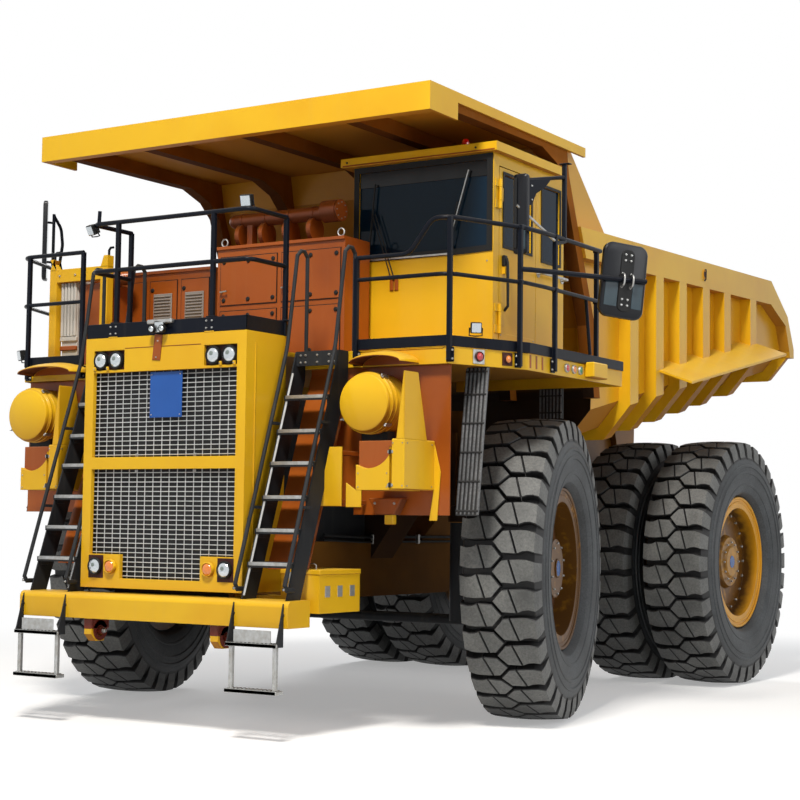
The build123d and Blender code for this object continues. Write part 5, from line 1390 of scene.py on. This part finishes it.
mirrors.take(block((2.662, -2.573, 4.19), (2.698, -2.537, 4.89)), navy)
mirrors.take(block((2.640, -2.585, 4.885), (2.740, -2.525, 4.895), 0.003), navy)
tube(mirrors, [(2.680, -2.725, 4.06), (2.680, -2.725, 4.17), (2.680, -2.555, 4.20), (2.680, -2.555, 4.30)],
    0.020, 0.05, navy)
case = at((2.540, -3.095, 4.375))
mirrors.take(shell_of(0.14, 0.69, 0.045, 0.032), shell_nylon, case, True)
mirrors.take(block((-0.056, 0.020, -0.325), (0.056, 0.026, 0.325), 0.002), mirror_glass, case)
mirrors.take(block((-0.010, -0.026, -0.31), (0.055, -0.021, -0.10), 0.002), smoked_mirror, case)
mirrors.take(block((-0.052, -0.036, -0.30), (-0.026, -0.020, 0.31)), seal_rubber, case)
mirrors.take(pipe([(2.560, -3.090, 4.665), (2.680, -2.570, 4.770)], 0.017, 8), navy)
gusset = [(2.590, -3.100, 4.665), (2.652, -2.760, 4.728), (2.640, -2.850, 4.640), (2.615, -2.980, 4.560),
          (2.606, -3.035, 4.460), (2.598, -3.090, 4.440)]
mirrors.take(slab(gusset, (0.010, 0, 0)), navy)
mirrors.take(pipe([(2.520, -3.132, 4.445), (2.684, -2.745, 4.185)], 0.013, 8), galvanised)
for place in ((2.610, -3.04, 4.62), (2.610, -3.04, 4.50)):
    bolts(mirrors, [place], 0.010, (1, 0, 0), galvanised)

case = at((-2.70, -3.370, 4.51)) @ spun(-52, "Z")
mirrors.take(shell_of(0.16, 0.80, 0.045, 0.035), shell_nylon, case, True)
mirrors.take(block((-0.064, 0.020, -0.38), (0.064, 0.026, 0.38), 0.002), mirror_glass, case)
mirrors.take(pipe([(-2.665, -3.290, 4.22), (-2.665, -3.290, 4.79)], 0.016, 10), navy)
for z in (4.70, 4.30):
    mirrors.take(pipe([(-2.690, -3.345, z), (-2.665, -3.290, z)], 0.012, 8), navy)
tube(mirrors, [(-2.665, -3.285, 4.77), (-2.672, -3.175, 4.66), (-2.672, -3.150, 4.50),
    (-2.668, -3.200, 4.24)], 0.016, 0.12, navy)
mirrors.ride("mirrors_on_arms", "chassis", "navy_paint", "mirrors")


# ------------------------------------------------------------------ cabinets on the decks
# Folded sheet cabinets for the drive's electrics. Their doors close on foam seals with black
# quarter-turn latches, and the cooling air goes through rolled ducts and pressed louvres.

cabinets = Gathered()
door_face = -3.435
door_gap, sill = 0.060, 3.215
door_wide, door_high = 0.635, 0.4425
rim_back, rim_wide, rim_thick = 0.009, 0.007, 0.006
latch = [(0.0, 0.0), (0.021, 0.0), (0.021, 0.005), (0.015, 0.012), (0.0, 0.013)]
for column in range(2):
    for row in range(2):
        x, z = -0.415 + column * (door_wide + door_gap), sill + row * (door_high + door_gap)
        rim = opening((x, door_face + rim_back, z), (x + door_wide, door_face + rim_back, z + door_high))
        frame_of(cabinets, rim, rim_wide, rim_thick, seal_rubber, (0, -1, 0))
        for part in (0.06, 0.50, 0.94):
            for height in (0.10, 0.90):
                spot = (x + door_wide * part, door_face, z + door_high * height)
                cabinets.take(turned(latch, 20), handle_plastic, about_y(spot), False)
        grip = x + 0.02
        cabinets.take(pipe([(grip, door_face, z + 0.12), (grip, door_face - 0.030, z + 0.12),
            (grip + 0.075, door_face - 0.034, z + 0.125)], 0.008, 8), zinc_steel)
for x in (-0.40, 0.90):
    ring = [(x + 0.034 * math.cos(turn), -3.40, 4.305 + 0.034 * math.sin(turn))
            for turn in [math.tau * step / 20 - math.pi / 2 for step in range(20)]]
    cabinets.take(pipe(ring + [ring[0]], 0.007, 8), galvanised)
drum_y = -3.225
for x in (-0.34, -0.07, 0.20, 0.47):
    cabinets.take(band(0.0, 0.115, 0.045, 0.0, 32), orange, about_x((x, drum_y, 4.385)))
    cabinets.take(band(0.065, 0.070, 0.030, 0.0, 40), orange, about_x((x + 0.008, drum_y, 4.53)), True)
nose = [(0.0, -0.062), (0.030, -0.055), (0.052, -0.034), (0.066, 0.0), (0.066, 0.02), (0.0, 0.02)]
cabinets.take(turned(nose, 40), orange, about_x((-0.412, drum_y, 4.53)), True)
end = turned([(0.0, 0.0), (0.088, 0.0), (0.100, 0.010), (0.100, 0.022), (0.0, 0.022)], 40)
cabinets.take(end, orange, about_x((0.759, drum_y, 4.54)), True)
for turn in [math.tau * step / 8 for step in range(8)]:
    bolts(cabinets, [(0.781, drum_y + 0.075 * math.cos(turn), 4.54 + 0.075 * math.sin(turn))], 0.007,
        (1, 0, 0))

side_face = -3.135
vent_grey = sprayed_enamel("warm_grey_enamel", "#8C8580", "#7A736E", dusty=0.3, roughness=0.5)
for column in range(3):
    wide = 0.330
    x = -1.905 + column * (wide + door_gap)
    rim = opening((x, side_face + rim_back, sill), (x + wide, side_face + rim_back, 4.045))
    frame_of(cabinets, rim, rim_wide, rim_thick, seal_rubber, (0, -1, 0))
    if column:
        cabinets.take(block((x + 0.05, side_face - 0.012, 3.62),
            (x + wide - 0.05, side_face - 0.001, 3.92), 0.004), vent_grey)
        blade = block((x + 0.065, side_face - 0.024, 3.645), (x + wide - 0.065, side_face - 0.008, 3.655),
            0.003)
        cabinets.take(row_of(blade, 9, (0, 0, 0.030), vent_grey))
    for height in (3.30, 3.96):
        cabinets.take(turned(latch, 20), handle_plastic, about_y((x + 0.03, side_face, height)))

for x, reach in ((-2.0, 0.09), (-1.82, 0.10)):
    path = [(x, -3.42, 3.18), (x, -3.44, 3.55), (x + 0.01, -3.45, 3.80), (x + 0.06, -3.44, 3.98),
            (x + 0.14, -3.40, 4.06), (x + 0.22, -3.30, 4.08)]
    cabinets.take(pipe(path, reach * 0.75, 20), orange, smooth=True)
    for z in (3.28, 3.66):
        cabinets.take(band(reach * 0.75, reach * 0.80, 0.012, -0.012, 24), zinc_steel, at((x, -3.44, z)),
            True)
cabinets.ride("cabinet_fittings", "chassis", "orange_paint")


# ------------------------------------------------------------------ resistor stack
# The retarder's ribbed resistor banks stand in a welded portal frame bolted to the right deck,
# with an insulated air duct beside them and two lifting hooks on top.

portal = Gathered()
ceramic_grey = sprayed_enamel("pale_ceramic_coating", "#C9C5BE", "#B4AFA6", dusty=0.3, roughness=0.6,
    coat=0.0)
low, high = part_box("grid_box")
front, rear = low.y, low.y + 0.09
for x, lean in ((-2.350, -1), (-1.700, 1)):
    portal.take(block((x, front, 3.170), (x + 0.090, rear, 4.150)), yellow)
    ear = [(x, front, 4.140), (x + 0.090, front, 4.140), (x + 0.045 + lean * 0.045, front, 4.250),
           (x + 0.045 - lean * 0.005, front, 4.250)]
    portal.take(slab(ear, (0, 0.09, 0)), yellow)
    portal.take(block((x - 0.030, front - 0.012, 3.171), (x + 0.120, rear + 0.03, 3.183), 0.003), yellow)
    bolts(portal, [(x + shift, front - 0.002, 3.183) for shift in (-0.015, 0.105)], 0.010, (0, 0, 1))
    top = x + 0.045 + lean * 0.022
    hook = [(top, front + 0.045, 4.24), (top, front + 0.045, 4.30), (top + 0.02, front + 0.045, 4.325),
            (top + 0.055, front + 0.045, 4.325)]
    portal.take(pipe(hook, 0.012, 8), navy)
portal.take(block((-2.262, front + 0.004, 4.020), (-1.698, rear - 0.004, 4.150)), yellow)
bolts(portal, [(x, front + 0.004, 4.085) for x in (-2.22, -2.02, -1.93, -1.74)], 0.011)
portal.take(block((-2.255, rear, 3.171), (-1.710, high.y, 3.215)), orange)
portal.take(block((-2.240, rear - 0.02, 3.215), (-2.040, high.y - 0.01, 4.060), 0.006), ceramic_grey)
rib = pipe([(-2.222, front + 0.056, 3.50), (-2.222, front + 0.056, 4.015)], 0.016, 8)
portal.take(row_of(rib, 5, (0.041, 0, 0), ceramic_grey))
for z in (3.25, 3.36, 3.45):
    portal.take(block((-2.246, front + 0.048, z), (-2.034, front + 0.075, z + 0.045), 0.006),
                orange if z == 3.36 else ceramic_grey)
fin = block((-2.252, rear + 0.03, 3.30), (-2.238, high.y - 0.05, 3.312), 0.002)
portal.take(row_of(fin, 18, (0, 0, 0.040), steel_black))
portal.take(block((-2.030, rear - 0.01, 3.215), (-1.715, high.y - 0.02, 4.000), 0.008), orange)
portal.ride("resistor_stack", "chassis", "yellow_paint", "grid_box")


# ------------------------------------------------------------------ dump body
# Welded from wear-resistant plate. Fillet welds run along the hoops, lifting eyes are let
# into the rails, and bare wear strips lie along and across the floor.

weld_bead = sprayed_enamel("painted_weld_bead", "#E5A012", "#C9860F", dusty=0.2, roughness=0.5)
worn_steel = plated_steel("scoured_wear_plate", "#8B8780", 0.35, 0.8)
body_trim = Gathered()


def bead(points, radius=0.008):
    """A fillet weld along a line of points."""
    body_trim.take(pipe(points, radius, 6), weld_bead)


floor_slope = 0.2


def floor_z(y):
    """Height of the sloping floor's underside."""
    return 2.605 + floor_slope * (y + 0.645)


def rail_z(y):
    """Height of the side rail's upper edge."""
    return 4.62 + 0.125 * (y + 0.320) / 4.475


for side in (-1, 1):
    for start in (0.085, 0.735, 1.365, 2.035, 2.680):
        for y in (start, start + 0.2):
            bead([(side * 2.040, y, floor_z(y) + 0.29), (side * 2.040, y, rail_z(y) - 0.30)])
    face = side * 2.167
    eye_y, eye_z = 1.98, 4.545
    hole = at((face - side * 0.004, eye_y, eye_z)) @ \
        spun(side * 90, "Y")
    body_trim.take(turned([(0.034, 0.0), (0.058, 0.0), (0.058, 0.008), (0.034, 0.010)], 28), weld_bead,
        hole, True)
    # The dark disc inside the eye is painted shade in its hole.
    body_trim.take(band(0.0, 0.035, 0.006), dark_red_bezel_and_recess_shade, hole, True)
    hook = [(face, eye_y, eye_z + 0.05), (face + side * 0.02, eye_y, eye_z + 0.05),
            (face + side * 0.022, eye_y - 0.01, eye_z), (face + side * 0.02, eye_y - 0.01, eye_z - 0.06),
            (face + side * 0.004, eye_y - 0.01, eye_z - 0.075)]
    body_trim.take(pipe(hook, 0.008, 8), steel_black)
    for y in (-0.62, 3.10):
        lug = about_x((side * 1.985, y, rail_z(y) - 0.19))
        body_trim.take(band(0.035, 0.075, 0.022), yellow, lug, True)
tilt = Matrix.Rotation(math.atan(floor_slope), 4, "X")
for y in (0.375, 0.975, 1.575, 2.175, 2.775, 3.375, 3.975, 4.575):
    body_trim.take(block((-1.72, -0.045, 0.0), (1.72, 0.045, 0.016)), worn_steel,
        at((0, y, floor_z(y) + 0.034)) @ tilt)
strip_front, strip_long = -0.025, 4.8 * math.hypot(1, floor_slope)
for x in (-1.2, -0.4, 0.4, 1.2):
    body_trim.take(block((x - 0.04, 0.0, 0.0), (x + 0.04, strip_long, 0.010), 0.003), worn_steel,
        at((0, strip_front, floor_z(strip_front) + 0.033)) @ tilt)
canopy_low, canopy_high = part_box("canopy")
for side in (-1, 1):
    bead([(side * 2.150, y, canopy_high.z - 0.006) for y in (canopy_low.y + 0.02, canopy_high.y - 0.05)],
        0.006)
body_trim.ride("body_welds_and_wear_strips", "dump_body", "yellow_paint")


# ------------------------------------------------------------------ hoists and running gear
# Three-stage hoists: painted barrels, ground and hard-chromed stages. Forged pins have
# keeper plates, and hoses in braided rubber carry the oil and the grease.

# Hard chrome on ground steel: bright, with the grinding's fine rings along the rod.
chrome = polished("hard_chromed_steel", "#C4C6C8", 1.0, 2.0, (0.08, 0.25), stretch=(2.0, 2.0, 900.0),
    Metallic=1.0)
for side in ("left", "right"):
    coated("hoist_rod_" + side, chrome)
    coated("hoist_stage_" + side, chrome)
hose_rubber = moulded("braided_hose_rubber", "#131416", 0.6, 0.5)
gear_trim = Gathered()
for side in (-1, 1):
    for x, way in ((0.634, -side), (0.916, side)):
        bolts(gear_trim, [(side * x, 0.775, 1.10)], 0.026, (way, 0, 0), steel_black)
    run = [(side * 0.625, -3.2, 1.62), (side * 0.632, -2.6, 1.60), (side * 0.634, -1.2, 1.60),
           (side * 0.634, 0.1, 1.60)]
    for drop, radius in ((0.0, 0.014), (0.045, 0.011)):
        hose = pipe([(x, y, z - drop) for x, y, z in run], radius)
        gear_trim.take(hose, hose_rubber, smooth=True)
    for y in (-2.4, -1.6, -0.8, 0.0):
        gear_trim.take(block((side * 0.634 - 0.016, y - 0.02, 1.535),
            (side * 0.634 + 0.016, y + 0.02, 1.625)), zinc_steel)
gear_trim.ride("hoses_and_keepers", "chassis", "dark_steel")


# ------------------------------------------------------------------ studio
# A pale seamless floor, a large soft key lamp in front of and above the truck, weaker ones
# at its side and behind it, and a plain white room round it.

def looked_at(tree):
    """1 for rays from the camera, straight, mirrored or through glass."""
    rays = add(tree, "ShaderNodeLightPath")
    seen = rays["Is Camera Ray"]
    for kind in ("Is Transmission Ray", "Is Glossy Ray"):
        seen = add(tree, "ShaderNodeMath", {0: seen, 1: rays[kind]}, operation="MAXIMUM")[0]
    return seen


def studio_floor():
    """White to the camera, fading to plain white far off, with the truck's own shadow."""
    material, tree = new_material("pale_floor_paint")
    paint = add(tree, "ShaderNodeBsdfDiffuse", {"Color": rgb("#E9E9E9")})[0]
    lift = add(tree, "ShaderNodeEmission", {"Color": (1, 1, 1, 1), "Strength": 0.34})[0]
    lifted = add(tree, "ShaderNodeAddShader", {0: paint, 1: lift})[0]
    place = add(tree, "ShaderNodeTexCoord")["Object"]
    off = add(tree, "ShaderNodeVectorMath", {0: place}, operation="LENGTH")["Value"]
    far = add(tree, "ShaderNodeMapRange", {"Value": off, "From Min": 7.0, "From Max": 12.0},
              interpolation_type="SMOOTHSTEP")[0]
    white = add(tree, "ShaderNodeEmission", {"Color": (1, 1, 1, 1), "Strength": 1.0})[0]
    shown = add(tree, "ShaderNodeMixShader", {0: far, 1: lifted, 2: white})[0]
    finish_material(tree, add(tree, "ShaderNodeMixShader", {0: looked_at(tree), 1: paint, 2: shown})[0])
    data = bpy.data.meshes.new("floor")
    edge = 60.0
    data.from_pydata([(-edge, -edge, 0), (edge, -edge, 0), (edge, edge, 0), (-edge, edge, 0)], [],
        [(0, 1, 2, 3)])
    data.materials.append(material)
    floor = bpy.data.objects.new("floor", data)
    bpy.context.scene.collection.objects.link(floor)


def softbox(name, place, target, size, watts, colour="#FFFFFF"):
    """A rectangular area lamp that faces a target."""
    lamp = bpy.data.lights.new(name, "AREA")
    lamp.shape = "RECTANGLE"
    lamp.size, lamp.size_y = size
    lamp.energy = watts
    lamp.color = rgb(colour)[:3]
    holder = bpy.data.objects.new(name, lamp)
    bpy.context.scene.collection.objects.link(holder)
    holder.location = place
    holder.rotation_euler = (Vector(target) - Vector(place)).to_track_quat("-Z", "Y").to_euler()


studio_floor()
softbox("key_softbox", (4.5, -13.5, 16.0), (0.5, -1.5, 2.0), (3.0, 3.0), 3200, "#FFFAF2")
softbox("side_softbox", (14.0, -3.0, 8.0), (1.0, 0.0, 2.0), (6.0, 5.0), 350)
softbox("back_softbox", (-9.0, 13.0, 11.0), (0.0, 1.5, 2.0), (6.0, 5.0), 1100)

world = bpy.data.worlds.new("white_room")
world.use_nodes = True
room = world.node_tree
room.nodes.clear()
dim = add(room, "ShaderNodeBackground", {"Color": rgb("#E8EEF5"), "Strength": 0.24})[0]
white = add(room, "ShaderNodeBackground", {"Color": (1, 1, 1, 1), "Strength": 1.0})[0]
add(room, "ShaderNodeOutputWorld",
    {"Surface": add(room, "ShaderNodeMixShader", {0: looked_at(room), 1: dim, 2: white})[0]})
bpy.context.scene.world = world
bpy.context.scene.view_settings.view_transform = "Standard"

camera_data = bpy.data.cameras.new("camera")
camera_data.lens = 76.3
camera_data.sensor_width = 36.0
camera_data.clip_end = 200.0
camera = bpy.data.objects.new("camera", camera_data)
bpy.context.scene.collection.objects.link(camera)
camera.location = (9.262, -15.757, 1.747)
aim = Euler((math.radians(94.101), 0, math.radians(32.014))).to_matrix().to_4x4()
camera.rotation_euler = (aim @ spun(0.698, "Z")).to_euler()
bpy.context.scene.camera = camera
